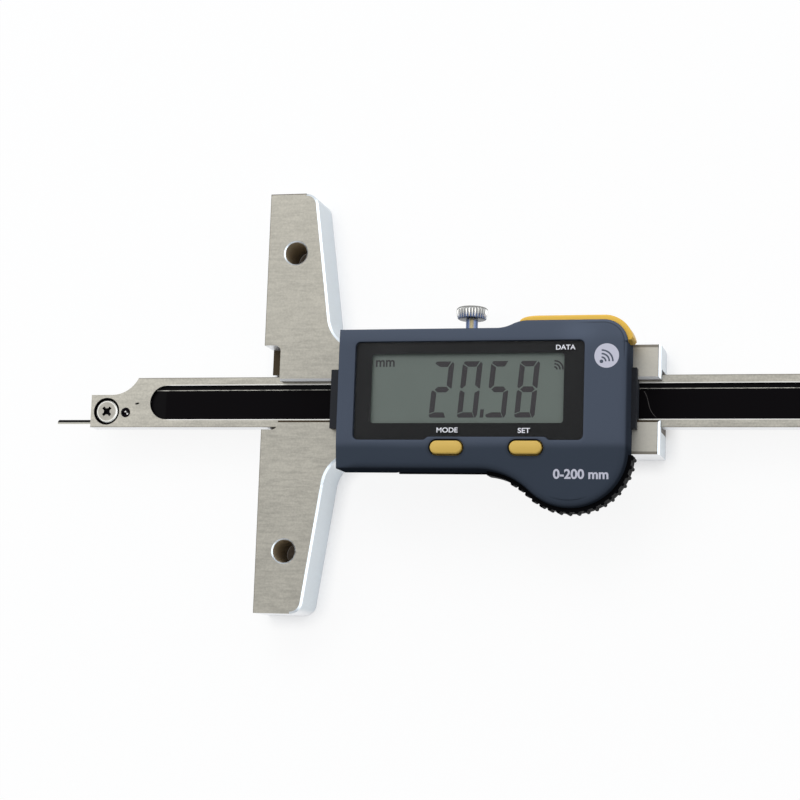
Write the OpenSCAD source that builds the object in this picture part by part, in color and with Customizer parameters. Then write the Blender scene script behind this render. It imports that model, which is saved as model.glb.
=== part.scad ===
// Digital depth gauge: a steel base and slider, a depth rod that runs through it,
// and a sealed display housing on the slider's front.
// X runs along the rod and out of the measuring face at -X, Y runs along the base,
// Z points out of the display. The origin is on the measuring face, on the rod's
// centre line, in the plane of the gauge's back. All sizes are in millimetres.

/* [Base] */
// Length of the measuring base
base_len = 100; // [95:1:150]
// Width of the base at its two ends
base_end_w = 11.4; // [10:0.1:13]
// Taper of each wing towards its end, in degrees
wing_taper = 8; // [5:0.5:9]
// Radius of the rounded outer corner of each wing
wing_corner_r = 3; // [2:0.1:3.6]
// Radius of the fillet between wing and slider
wing_fillet_r = 8; // [5:0.5:10]
// Diameter of the two through holes for an extension base
ext_hole_d = 5.4; // [4:0.1:6]
// Distance between the two through holes
ext_hole_pitch = 71; // [60:1:80]
// Distance of the through holes from the measuring face
ext_hole_x = 6.8; // [6:0.1:7]
// Depth of the notches in the measuring face
notch_depth = 4; // [3:0.1:5]
// Height of the upper notch over the rod's centre line
notch_top = 13.2; // [13:0.1:16]
// Corner radius of the notches
notch_r = 1.4; // [0.8:0.1:2]

/* [Slider] */
// Length of the slider from the measuring face
slider_len = 94; // [90:1:110]
// Width of the slider
slider_w = 25; // [24:0.5:26]
// Thickness of the lips over the rod's front edges
lip_t = 2.55; // [2:0.05:3.5]
// Overlap of each lip over the rod
lip_reach = 1.3; // [1:0.1:1.6]
// Gap beside the rod that holds the gib spring
gib_gap = 1.2; // [1:0.1:1.5]
// Running gap of the rod in its channel
run_gap = 0.05; // [0.03:0.01:0.1]
// Thickness of the back plate
plate_t = 2; // [1.8:0.1:3]
// Height of the guide land on the back plate
land_h = 2.85; // [2:0.05:4]
// Number of back plate screws along each edge
plate_screw_count = 4; // [3:1:4]
// Bevel on the front edges of the steel
steel_bevel = 0.5; // [0.3:0.1:0.8]

/* [Rod] */
// Width of the rod
beam_w = 12; // [11.5:0.1:12.5]
// Thickness of the rod
beam_t = 4.5; // [4.2:0.1:5.5]
// Distance that the rod's end block stands out of the measuring face
block_out = 44.5; // [40:0.5:60]
// Distance that the needle stands out of the end block
needle_out = 9.5; // [5:0.5:12]
// Diameter of the needle
needle_d = 1; // [0.8:0.1:1.4]
// Greatest depth that the gauge measures
max_depth = 200; // [150:10:300]
// Length of the stepped end block
block_len = 12; // [11.5:0.1:14]
// Height of the end block's step over the rod's centre line
block_step = 1.9; // [1.8:0.1:3]
// Radius of the hollow curve up to the rod's full width
block_r = 7.5; // [6:0.5:9]
// Diameter of the needle clamp screw's head
clamp_head_d = 5.5; // [4.8:0.1:5.9]
// Depth of the recess for the scale
recess_depth = 0.9; // [0.6:0.1:1.2]
// Width of the recess for the scale
recess_w = 8.2; // [7.6:0.1:8.6]

/* [Lock screw] */
// Distance of the lock screw from the measuring face
lock_x = 49.1; // [45:0.5:52]
// Diameter of the knurled head
knob_d = 7.6; // [7:0.1:9]
// Height of the knurled head
knob_h = 3.7; // [3:0.1:5]
// Distance from the rod's centre line to the head's underside
knob_y = 19.2; // [18:0.1:22]
// Diameter of the lock screw's stem
stem_d = 2.8; // [2.4:0.1:3]
// Radial clearance of the stem in its bore
stem_gap = 0.05; // [0.03:0.01:0.08]
// Number of knurls
knurl_count = 18; // [14:1:24]

/* [Housing] */
// Distance of the housing's end from the measuring face
house_x0 = 21.1; // [19:0.1:22]
// Length of slider left bare beyond the housing
house_tail = 6.3; // [4:0.1:8]
// Height of the housing's top edge over the centre line
house_top = 15.1; // [15:0.1:16]
// Depth of the housing's bottom edge under the centre line
house_bottom = 17; // [16.6:0.1:18]
// Height of the housing over the slider
house_h = 9.5; // [9.5:0.1:11]
// Rise of the shoulder that carries the data key
shoulder_rise = 1.7; // [1:0.1:2]
// Radius of the upper right corner
corner_r = 5.5; // [5:0.1:6]
// Radius of the thumb bulge
bulge_r = 13; // [12.6:0.1:13.4]
// Depth of the bulge's centre under the centre line
bulge_y = 12.3; // [12:0.1:12.6]
// Radius of the hollow curve beside the bulge
blend_r = 17; // [14:0.5:20]
// Wall of the front cover
cover_wall = 1.6; // [1.4:0.1:1.8]
// Slope of the front below the panel, in degrees
crown_low = 6; // [3:0.5:7]
// Slope of the front above the panel, in degrees
crown_high = 7; // [3:0.5:10]
// Distance that the ribbed rest stands proud of the cover
rest_proud = 0.9; // [0.4:0.1:0.9]
// Radius of the ribs on the rest
rib_r = 0.45; // [0.4:0.05:0.7]
// Distance between the ribs
rib_pitch = 2.06; // [1.8:0.05:2.6]
// Direction of the first rib under the bulge's level line, in degrees
rib_start = 7; // [5:1:12]
// Ribs on the hollow curve beside the bulge
hollow_ribs = 3; // [1:1:4]

/* [Display] */
// Distance from the housing's end to the window
panel_inset = 4; // [3.6:0.1:4.4]
// Distance from the window to the housing's right end
panel_tail = 9.6; // [9.2:0.1:10.6]
// Height of the window
panel_h = 22.6; // [22:0.1:22.8]
// Height of the window's lower edge over the centre line
panel_y0 = -10.5; // [-10.7:0.1:-10.3]
// Distance from the visible display to the window's right end
view_tail = 4.2; // [3.5:0.1:6.5]
// Height of the visible display
view_h = 15.6; // [14.5:0.1:16]
// Thickness of the window
window_t = 0.8; // [0.6:0.1:1]
// Thickness of the display
lcd_t = 1.8; // [1.4:0.1:2]

/* [Keys] */
// Length of the oval keys
key_len = 7.7; // [7:0.1:8.4]
// Width of the oval keys
key_w = 3.3; // [2.8:0.1:3.5]
// Distance between the oval keys
key_step = 18.2; // [17:0.1:19]
// Distance from the right oval key to the window's right end
key_tail = 12.8; // [12:0.1:14]
// Gap round the oval keys
key_gap = 0.3; // [0.2:0.05:0.4]
// Travel of the oval keys
key_travel = 0.5; // [0.3:0.05:0.5]
// Height of the oval keys over the front
key_proud = 0.55; // [0.52:0.01:0.8]
// Distance that the data key stands proud of the shoulder
data_proud = 1.2; // [0.8:0.1:1.3]
// Travel of the data key
data_travel = 0.4; // [0.2:0.05:0.4]

/* [Cell] */
// Diameter of the button cell
cell_d = 16; // [15:0.1:16.2]
// Thickness of the button cell
cell_t = 3.2; // [2.4:0.1:3.2]

/* [Hidden] */
$fn = 72;
cut = 1;

// Levels through the slider
land_z1 = plate_t + land_h;
beam_z0 = land_z1 + run_gap;
beam_z1 = beam_z0 + beam_t;
lip_z0 = beam_z1 + run_gap;
frame_t = lip_z0 + lip_t;
lip_y = beam_w / 2 - lip_reach;
pocket_y0 = -beam_w / 2 - run_gap;
pocket_y1 = beam_w / 2 + gib_gap;

// The sloping edge of a wing meets the slider's edge at wing_root_x
taper_run = tan(wing_taper);
wing_root_x = base_end_w + (base_len - slider_w) / 2 * taper_run;
wing_angle = 90 + wing_taper;
fillet_run = wing_fillet_r / tan(wing_angle / 2);
fillet_x = wing_root_x + fillet_run;
fillet_y = slider_w / 2 + wing_fillet_r;
corner_run = wing_corner_r * (1 / cos(wing_taper) - taper_run);
corner_x = base_end_w - corner_run;
corner_y = base_len / 2 - wing_corner_r;
// Arcs run past the lines that they are tangent to by this depth, so that they cross
arc_meet = 0.01;
wing_dir = [-sin(wing_taper), cos(wing_taper)];
wing_out = [cos(wing_taper), sin(wing_taper)];

// Rows of the screws in the slider
rail_y1 = (pocket_y1 + slider_w / 2) / 2;
rail_y0 = -(beam_w / 2 + run_gap + slider_w / 2) / 2;
plate_screw_d = 2.4;
plate_screw_x0 = 10;
plate_screw_step = (slider_len - 2 * 8 - plate_screw_x0 + 8) / (plate_screw_count - 1);
screw_gap = 0.05;

// Rod
rest_depth = block_out + needle_out;
stop_len = 6;
stop_t = 1.5;
stop_gap = 0.1;
beam_x0 = -block_out;
beam_x1 = slider_len + stop_gap + stop_len + max_depth - rest_depth;
recess_x0 = beam_x0 + 15.2;
recess_x1 = beam_x1 - stop_len - 1;
recess_z = beam_z1 - recess_depth;
strip_t = recess_depth - 0.1;
strip_top = recess_w / 2 - 1.3;
clamp_x = beam_x0 + 4.05;
clamp_y = -2.1;
clamp_recess_d = clamp_head_d + 1.1;
clamp_shank_d = 2.2;
clamp_floor = beam_z1 - 1.7;
needle_y = -4.4;
needle_z = clamp_floor - 0.2 - needle_d / 2;
needle_in = 8;
grub_x = beam_x0 + 9;
grub_y = clamp_y - 0.3;
grub_d = 2.3;

// Lock screw
lock_z = (beam_z0 + beam_z1) / 2;
gib_t = 0.4;
gib_len = 54;
gib_bow = gib_gap - gib_t - 0.1;
gib_r = gib_len * gib_len / (8 * gib_bow);
pad_y0 = beam_w / 2 + run_gap + gib_t + 0.15;
pad_len = 2.4;
stem_tip = pad_y0 + pad_len + 0.02;

// Housing outline
house_x1 = slider_len - house_tail;
shoulder_top = house_top + shoulder_rise;
shoulder_x0 = house_x1 - 29.9;
shoulder_x1 = shoulder_x0 + 7.2;
shoulder_r = (pow(shoulder_x1 - shoulder_x0, 2) + pow(shoulder_rise, 2)) / (4 * shoulder_rise);
bulge_x = house_x1 - bulge_r;
bulge_drop = house_bottom - bulge_y;
blend_x = bulge_x - sqrt(pow(bulge_r + blend_r, 2) - pow(bulge_drop + blend_r, 2));
blend_y = -house_bottom - blend_r;
blend_angle = atan2(-bulge_y - blend_y, bulge_x - blend_x);
rest_x0 = blend_x + 1.7;

// The slot between the lips is open at both ends, and in the middle as the read head's
// window; two bridges between them join the slider's rails under the housing
slot_x1 = house_x0 + 2;
slot_x2 = house_x1 - 2;
bridge = 4.5;
sensor_x0 = slot_x1 + bridge;
sensor_x1 = slot_x2 - bridge;
sensor_gap = 0.3;

// Levels through the housing
house_z1 = frame_t + house_h;
floor_t = 1.4;
floor_z = frame_t + floor_t;
skirt_gap = 0.1;
ceiling_z = house_z1 - cover_wall;
rest_z1 = frame_t + 5;
pocket_floor = house_z1 - window_t - 0.3;
crease_low = panel_y0 - 0.3;
crease_high = panel_y0 + panel_h + 0.8;
board_z0 = frame_t + 3.8;
board_t = 0.8;
board_z1 = board_z0 + board_t;

// Window and display
panel_x0 = house_x0 + panel_inset;
panel_x1 = house_x1 - panel_tail;
panel_y1 = panel_y0 + panel_h;
panel_r = 1.2;
notch_rise = 0.7;
view_x0 = panel_x0 + 4.5;
view_y0 = panel_y0 + 3.5;
view_x1 = panel_x1 - view_tail;
view_y1 = view_y0 + view_h;
view_r = 0.7;
window_gap = 0.1;
mask_t = 0.2;
lcd_x0 = view_x0 - 1.6;
lcd_x1 = view_x1 + 1.6;
lcd_y0 = view_y0 - 1.6;
lcd_y1 = view_y1 + 1.6;
lcd_z0 = ceiling_z - lcd_t;
holder_t = 0.8;
holder_gap = 0.15;
// The contact strips stop short of the cell at their right end
zebra_x0 = lcd_x0 + 2;
zebra_x1 = lcd_x1 - 4.5;

// Keys
set_x = panel_x1 - key_tail;
mode_x = set_x - key_step;
key_y = panel_y0 - 1.85;
key_flange = 0.6;
key_flange_t = 0.6;
key_z1 = house_z1 + key_proud - (crease_low - key_y) * tan(crown_low);
key_flange_z1 = ceiling_z - (crease_low - key_y + key_w) * tan(crown_low) - 0.1;
switch_h = 1;
key_stem_z0 = board_z1 + switch_h + key_travel + 0.05;

// Data key band on the shoulder and the corner
band_x0 = shoulder_x0 + 5.2;
band_y0 = 12.1;
band_z0 = frame_t + 1.2;
band_z1 = house_z1 - 1.3;
band_back = 0.6;
band_recess = band_back + data_travel + 0.1;
band_wall = band_recess + 1.1;
data_dir = [cos(45), sin(45)];
data_centre = [house_x1 - corner_r, shoulder_top - corner_r];
data_stem_r = 1;
data_stem_z = board_z1 + data_stem_r + 0.1;
data_stem_end = corner_r - band_wall - 0.6;

// Cell and its hatch
cell_r = cell_d / 2;
cell_x = bulge_x + 1.9;
cell_y = -bulge_y - 1.9;
spring_t = 0.3;
cell_z0 = floor_z + spring_t;
cell_z1 = cell_z0 + cell_t;
hatch_y1 = -slider_w / 2 - 0.7;
hatch_r = bulge_r - 2.6;
hatch_t = 0.8;
hatch_gap = 0.15;
hatch_ledge = 1;
hatch_screw_x = bulge_x - 7.5;
hatch_screw_y = -bulge_y - 3.7;

// Screws that hold the housing
shell_screw_x = [house_x0 + 8, house_x1 - 23.6];
cover_screw_x = [house_x0 + 4, (mode_x + set_x) / 2];
cover_screw_y = -house_bottom + cover_wall + 1.45;
boss_r = 1.45;
small_screw_d = 1.6;
small_head_d = 2.6;
seal_t = 0.35;
seal_h = 0.7;

// Wipers at both ends of the housing
wiper_y = 6.9;
wiper_left = 3.7;
wiper_right = 1.2;
wiper_h = 2.2;
tongue_gap = 0.2;
tongue_y = lip_y - 0.25;

// Cuts a straight edge from p to q to the profile below; x of the profile runs inwards,
// to the left of the walk, and y runs up from the edge
module along_line(p, q, z) {
    run = q - p;
    translate([p.x, p.y, z]) rotate([0, 0, atan2(run.y, run.x)])
        rotate([90, 0, 90]) linear_extrude(norm(run)) children();
}

// Cuts a curved edge the same way; hollow edges have their material outside the radius
module along_arc(centre, r, a0, a1, z, hollow = false) {
    translate([centre.x, centre.y, z]) rotate([0, 0, a0]) rotate_extrude(angle = a1 - a0)
        translate([r, 0]) {
            if (hollow) children();
            else mirror([1, 0]) children();
        }
}

// Section that a bevel of size c takes off an edge
module bevel_section(c, e = 0.2) {
    polygon([[-e, e], [c + e, e], [-e, -c - e]]);
}

// Rectangle from corner to corner
module box2(x0, y0, x1, y1) {
    translate([x0, y0]) square([x1 - x0, y1 - y0]);
}

// Rectangle with round corners
module round_box2(x0, y0, x1, y1, r) {
    box2(x0 + r, y0, x1 - r, y1);
    box2(x0, y0 + r, x1, y1 - r);
    for (x = [x0 + r, x1 - r], y = [y0 + r, y1 - r]) translate([x, y]) circle(r = r);
}

// Upright prism of the flat shape below, between two levels
module slab(z0, z1) {
    translate([0, 0, z0]) linear_extrude(z1 - z0) children();
}

// Corner that is cut away outside the round of a wing's end
module wing_corner_cut() {
    reach = 3 * wing_corner_r;
    difference() {
        polygon([[corner_x, corner_y], [corner_x, corner_y + reach],
            [corner_x + reach, corner_y + reach], [corner_x, corner_y] + reach * wing_out]);
        translate([corner_x, corner_y]) circle(r = wing_corner_r + arc_meet);
    }
}

// Web between wing and slider with its hollow fillet
module fillet_web() {
    difference() {
        polygon([[wing_root_x - cut, slider_w / 2 - cut], [fillet_x, slider_w / 2 - cut],
            [fillet_x, fillet_y], [fillet_x, fillet_y] - wing_fillet_r * wing_out]);
        translate([fillet_x, fillet_y]) circle(r = wing_fillet_r + arc_meet);
    }
}

// Solid form of the two wings and the slider together
module frame_body() {
    half = slider_w / 2;
    for (side = [0, 1]) mirror([0, side, 0]) {
        difference() {
            slab(0, frame_t) polygon([[0, 0], [0, base_len / 2], [base_end_w, base_len / 2],
                [wing_root_x, half], [wing_root_x, 0]]);
            slab(-cut, frame_t + cut) wing_corner_cut();
        }
        slab(0, frame_t) fillet_web();
    }
    translate([cut, -half, 0]) cube([slider_len - cut, slider_w, frame_t]);
}

// Straight bore with a countersunk mouth at its lower end
module csk_bore(d, head_d, depth) {
    translate([0, 0, -cut]) cylinder(d = d, h = depth + cut);
    translate([0, 0, -cut]) cylinder(d1 = head_d + 2 * cut, d2 = 0, h = head_d / 2 + cut);
}

// Places of the back plate screws
module at_plate_screws() {
    for (i = [0 : plate_screw_count - 1], y = [rail_y0, rail_y1])
        translate([plate_screw_x0 + i * plate_screw_step, y, 0]) children();
}

// Places of the screws that hold the rear shell to the slider
module at_shell_screws() {
    for (x = shell_screw_x, y = [rail_y0, rail_y1]) translate([x, y, 0]) children();
}

// Places of the screws that hold the two housing halves together
module at_cover_screws() {
    for (x = cover_screw_x) translate([x, cover_screw_y, 0]) children();
}

// Front bevels along both wings of the base
module wing_bevels() {
    for (side = [0, 1]) mirror([0, side, 0]) {
        along_line([fillet_x, fillet_y] - wing_fillet_r * wing_out,
            [corner_x, corner_y] + wing_corner_r * (wing_out + 0.3 * wing_dir), frame_t)
            bevel_section(steel_bevel);
        along_arc([corner_x, corner_y], wing_corner_r + arc_meet, wing_taper, 90, frame_t)
            bevel_section(steel_bevel);
        along_arc([fillet_x, fillet_y], wing_fillet_r + arc_meet, 174 + wing_taper, 270, frame_t, true)
            bevel_section(steel_bevel);
    }
}

// Front bevels along the slider: both lips and the far end
module slider_bevels() {
    for (side = [0, 1]) mirror([0, side, 0]) {
        along_line([notch_depth - cut, lip_y], [slot_x1, lip_y], frame_t) bevel_section(steel_bevel);
        along_line([slot_x2, lip_y], [slider_len + cut, lip_y], frame_t) bevel_section(steel_bevel);
    }
    along_line([slider_len, -slider_w / 2 - cut], [slider_len, slider_w / 2 + cut], frame_t)
        bevel_section(steel_bevel);
}

module base_frame() {
    color([0.74, 0.73, 0.69]) difference() {
        frame_body();
        // seat of the back plate
        translate([-cut, -slider_w / 2, -cut]) cube([slider_len + 2 * cut, slider_w, plate_t + cut]);
        translate([fillet_x, -base_len / 2, -cut]) cube([slider_len, base_len, plate_t + cut]);
        // channel of the rod, its relief groove and the slot between the lips
        translate([-cut, pocket_y0, 0]) cube([slider_len + 2 * cut, pocket_y1 - pocket_y0, lip_z0]);
        translate([-cut, pocket_y0 - 0.8, lip_z0 - 0.7])
            cube([slider_len + 2 * cut, cut, 0.7 + run_gap]);
        slab(0, frame_t + cut) {
            box2(-cut, -lip_y, slot_x1, lip_y);
            box2(slot_x2, -lip_y, slider_len + cut, lip_y);
            round_box2(sensor_x0, -lip_y, sensor_x1, lip_y, 1);
        }
        // notches in the measuring face, down to the level of the rod's guide land: the upper
        // one is tall, the lower one is a slit
        slab(land_z1, frame_t + cut) round_box2(-notch_depth, 0, notch_depth, notch_top, notch_r);
        slab(land_z1, frame_t + cut)
            round_box2(-notch_depth, -beam_w / 2 - 0.9, notch_depth, notch_r * 3, notch_r);
        // through holes with a small bevel at both faces
        for (side = [-1, 1]) translate([ext_hole_x, side * ext_hole_pitch / 2, 0]) {
            translate([0, 0, -cut]) cylinder(d = ext_hole_d, h = frame_t + 2 * cut);
            translate([0, 0, frame_t - 0.3])
                cylinder(d1 = ext_hole_d, d2 = ext_hole_d + 2.6, h = 1.3);
            translate([0, 0, -cut]) cylinder(d1 = ext_hole_d + 2.6, d2 = ext_hole_d, h = 1.3);
        }
        at_plate_screws() translate([0, 0, plate_t - cut])
            cylinder(d = plate_screw_d + 2 * screw_gap, h = 5.2 + cut);
        at_shell_screws() translate([0, 0, frame_t - 3.5])
            cylinder(d = small_screw_d + 2 * screw_gap, h = 3.5 + cut);
        translate([lock_x, 0, lock_z]) rotate([-90, 0, 0])
            cylinder(d = stem_d + 2 * stem_gap, h = slider_w);
        wing_bevels();
        slider_bevels();
    }
}

module back_plate() {
    color([0.66, 0.65, 0.62]) difference() {
        union() {
            translate([0.1, -slider_w / 2 + screw_gap, 0])
                cube([slider_len - 0.2, slider_w - 2 * screw_gap, plate_t]);
            translate([0.1, pocket_y0 + 0.25, plate_t - cut / 2])
                cube([slider_len - 0.2, beam_w - 0.4, land_h + cut / 2]);
        }
        at_plate_screws() csk_bore(plate_screw_d + 2 * screw_gap, 4.6, plate_t + cut);
    }
}

// Countersunk screw whose head lies just inside the lower face
module csk_screw(d, head_d, len) {
    difference() {
        union() {
            translate([0, 0, 0.15]) cylinder(d1 = head_d - 0.3, d2 = d, h = (head_d - 0.3 - d) / 2);
            translate([0, 0, 0.15]) cylinder(d = d, h = len - 0.15);
        }
        for (a = [45, 135]) rotate([0, 0, a]) translate([-head_d / 4, -0.25, -cut])
            cube([head_d / 2, 0.5, 0.6 + cut]);
    }
}

module back_plate_screws() {
    color([0.3, 0.3, 0.31]) at_plate_screws() csk_screw(plate_screw_d, 4.6, plate_t + 5);
}

// Bowed leaf that bears on the rod in its middle and on the channel wall at its ends
module gib_spring() {
    gib_y = beam_w / 2 + run_gap;
    color([0.72, 0.6, 0.36]) intersection() {
        translate([lock_x, gib_y + gib_r, beam_z0 + 0.3]) difference() {
            cylinder(r = gib_r, h = beam_t - 0.6, $fn = 360);
            translate([0, 0, -cut]) cylinder(r = gib_r - gib_t, h = beam_t + 2 * cut, $fn = 360);
        }
        translate([lock_x - gib_len / 2, gib_y - cut, beam_z0])
            cube([gib_len, gib_gap + cut, beam_t]);
    }
}

module clamp_pad() {
    color([0.8, 0.66, 0.35]) translate([lock_x, pad_y0, lock_z]) rotate([-90, 0, 0])
        cylinder(d = stem_d, h = pad_len);
}

// Turned screw with a knurled, slightly tapered head
module lock_screw() {
    knob_r = knob_d / 2;
    knob_top = knob_y + knob_h;
    color([0.8, 0.8, 0.78]) translate([lock_x, 0, lock_z]) rotate([-90, 0, 0]) difference() {
        rotate_extrude() polygon([[0, stem_tip], [stem_d / 2 - 0.3, stem_tip],
            [stem_d / 2, stem_tip + 0.3], [stem_d / 2, knob_y], [knob_r - 0.7, knob_y],
            [knob_r - 0.4, knob_y + 0.3], [knob_r, knob_top - 1.1], [knob_r - 0.1, knob_top - 0.6],
            [knob_r - 0.9, knob_top - 0.15], [0, knob_top]]);
        for (i = [0 : knurl_count - 1]) rotate([0, 0, i * 360 / knurl_count])
            translate([knob_r + 0.12, 0, knob_y - cut]) cylinder(r = 0.42, h = knob_h + 2 * cut, $fn = 24);
    }
}

// Side view of the rod from its stepped end block to its tail
module beam_outline() {
    half = beam_w / 2;
    curve_x = beam_x0 + block_len - sqrt(pow(block_r, 2) - pow(block_r - half + block_step, 2));
    difference() {
        box2(beam_x0, -half, beam_x1, half);
        box2(beam_x0 - cut, block_step, curve_x, half + cut);
        intersection() {
            translate([curve_x, block_step + block_r]) circle(r = block_r);
            box2(curve_x - cut, block_step - cut, beam_x0 + block_len + cut, half + cut);
        }
    }
}

module beam() {
    recess_r = recess_w / 2;
    color([0.72, 0.71, 0.67]) difference() {
        slab(beam_z0, beam_z1) beam_outline();
        slab(recess_z, beam_z1 + cut) {
            translate([recess_x0 + recess_r, 0]) circle(r = recess_r);
            box2(recess_x0 + recess_r, -recess_r, recess_x1 - recess_r, recess_r);
            translate([recess_x1 - recess_r, 0]) circle(r = recess_r);
        }
        translate([clamp_x, clamp_y, clamp_floor]) cylinder(d = clamp_recess_d, h = 3);
        translate([clamp_x, clamp_y, beam_z0 + 0.6])
            cylinder(d = clamp_shank_d + 2 * screw_gap, h = beam_t);
        translate([grub_x, grub_y, beam_z0 + 1]) cylinder(d = grub_d + 2 * screw_gap, h = beam_t);
        translate([beam_x0 - cut, needle_y, needle_z]) rotate([0, 90, 0])
            cylinder(d = needle_d + 2 * screw_gap, h = needle_in + cut);
        translate([beam_x1 - stop_len / 2, 0, beam_z0 + 0.6])
            cylinder(d = plate_screw_d + 2 * screw_gap, h = beam_t);
    }
}

module scale_strip() {
    recess_r = recess_w / 2;
    color([0.05, 0.05, 0.06]) slab(recess_z, recess_z + strip_t)
        box2(recess_x0 + recess_r, -recess_r + 0.1, recess_x1 - recess_r, strip_top);
}

module needle() {
    tip_x = -rest_depth;
    color([0.35, 0.35, 0.37]) difference() {
        translate([tip_x, needle_y, needle_z]) rotate([0, 90, 0])
            cylinder(d = needle_d, h = needle_out + needle_in - 0.2);
        translate([tip_x, needle_y - needle_d / 2, needle_z - needle_d]) rotate([0, 0, 70])
            cube([needle_d * 3, needle_d, needle_d * 2]);
    }
}

// Screw with a bevelled cross-recessed head, seated on the counterbore's floor
module needle_clamp_screw() {
    head_z = beam_z1 - 0.15;
    color([0.78, 0.77, 0.74]) translate([clamp_x, clamp_y, 0]) difference() {
        union() {
            translate([0, 0, beam_z0 + 0.8])
                cylinder(d = clamp_shank_d, h = clamp_floor - beam_z0 - 0.8 + cut / 2);
            translate([0, 0, clamp_floor]) cylinder(d = clamp_head_d, h = head_z - clamp_floor - 0.25);
            translate([0, 0, head_z - 0.25])
                cylinder(d1 = clamp_head_d, d2 = clamp_head_d - 0.5, h = 0.25);
        }
        for (a = [45, 135]) rotate([0, 0, a]) translate([-1.35, -0.36, head_z - 0.9])
            cube([2.7, 0.72, 2]);
        translate([0, 0, head_z - 1.1]) cylinder(d1 = 0.8, d2 = 1.6, h = 1.2);
    }
}

module grub_screw() {
    top = beam_z1 - 0.5;
    color([0.45, 0.44, 0.42]) translate([grub_x, grub_y, 0]) difference() {
        translate([0, 0, beam_z0 + 1.1]) cylinder(d = grub_d, h = top - beam_z0 - 1.1);
        rotate([0, 0, 20]) translate([-2, -0.2, top - 0.6]) cube([4, 0.4, 1]);
    }
}

module end_stop() {
    color([0.7, 0.69, 0.66]) difference() {
        translate([beam_x1 - stop_len, -beam_w / 2, beam_z1]) cube([stop_len, beam_w, stop_t]);
        translate([beam_x1 - stop_len / 2, 0, beam_z1 + stop_t]) mirror([0, 0, 1])
            csk_bore(plate_screw_d + 2 * screw_gap, 4.6, stop_t + cut);
    }
}

module end_stop_screw() {
    color([0.3, 0.3, 0.31]) translate([beam_x1 - stop_len / 2, 0, beam_z1 + stop_t])
        mirror([0, 0, 1]) csk_screw(plate_screw_d, 4.6, stop_t + beam_t - 0.8);
}

// Outline of the housing, drawn in by d: a long body with a raised shoulder over the
// data key and a round bulge for the thumb, all joined by tangent arcs
module housing_outline(d = 0) {
    low = -house_bottom + d;
    box2(house_x0 + d, low, bulge_x, house_top - d);
    box2(bulge_x - cut, -bulge_y, house_x1 - d, shoulder_top - corner_r);
    box2(shoulder_x1, 0, house_x1 - corner_r, shoulder_top - d);
    translate(data_centre) circle(r = corner_r - d + arc_meet);
    translate([bulge_x, -bulge_y]) circle(r = bulge_r - d + arc_meet);
    difference() {
        polygon([[shoulder_x0, house_top - d - 2], [shoulder_x0, house_top + shoulder_r],
            [shoulder_x1, shoulder_top - shoulder_r]]);
        translate([shoulder_x0, house_top + shoulder_r]) circle(r = shoulder_r + d + arc_meet);
    }
    translate([shoulder_x1, shoulder_top - shoulder_r]) circle(r = shoulder_r - d + arc_meet);
    difference() {
        polygon([[blend_x, low + 2], [blend_x, blend_y], [bulge_x, -bulge_y]]);
        translate([blend_x, blend_y]) circle(r = blend_r + d + arc_meet);
    }
}

// Space under the crowned front, lowered by drop: level over the window, sloping
// away above and below it
module crown_space(drop = 0) {
    high = house_z1 - drop;
    low_y = -40;
    high_y = 25;
    translate([house_x0 - cut, 0, 0]) rotate([90, 0, 90]) linear_extrude(house_x1 - house_x0 + 2 * cut)
        polygon([[low_y, 0], [low_y, high - (crease_low - low_y) * tan(crown_low)], [crease_low, high],
            [crease_high, high], [high_y, high - (high_y - crease_high) * tan(crown_high)], [high_y, 0]]);
}

// Area of the ribbed thumb rest
module rest_area(grow = 0) {
    box2(rest_x0 - grow, -45, house_x1 + 5, -slider_w / 2 - 0.8 + grow);
}

// Area of the data key band, grown by clear at its ends
module band_area(clear = 0) {
    polygon([[band_x0 - clear, 0], [band_x0 - clear, shoulder_top - 0.2],
        [band_x0 + 5 - clear, shoulder_top + 3], [house_x1 + 5, shoulder_top + 3],
        [house_x1 + 5, band_y0 - clear], [house_x1 - 4, band_y0 - clear], [house_x1 - 4, 0]]);
}

// Window outline drawn in by d, with its raised stretch over the two keys
module panel_outline(d = 0) {
    difference() {
        round_box2(panel_x0 + d, panel_y0 + d, panel_x1 - d, panel_y1 - d, panel_r - d / 2);
        polygon([[mode_x - 5.3 - d, panel_y0 - cut], [mode_x - 5.3 - d, panel_y0 + d],
            [mode_x - 4.3 - d, panel_y0 + notch_rise + d], [set_x + 4.3 + d, panel_y0 + notch_rise + d],
            [set_x + 5.3 + d, panel_y0 + d], [set_x + 5.3 + d, panel_y0 - cut]]);
    }
}

// Oval of the two small keys, grown by g
module key_outline(g = 0) {
    r = key_w / 2 + g;
    half = key_len / 2 - key_w / 2;
    box2(-half, -r, half, r);
    for (side = [-1, 1]) translate([side * half, 0]) circle(r = r);
}

// Post along the data key's direction at distance s from the corner's centre
module data_post(s0, s1, r) {
    translate([data_centre.x, data_centre.y, data_stem_z]) rotate([0, 90, 45])
        translate([0, 0, s0]) cylinder(r = r, h = s1 - s0);
}

// Inside of the cover, drawn in by d: its wall is thicker behind the data key
module cavity_outline(d = 0) {
    difference() {
        housing_outline(cover_wall + d);
        difference() {
            band_area(1.6 + d);
            housing_outline(band_wall + d);
        }
    }
}

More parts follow.
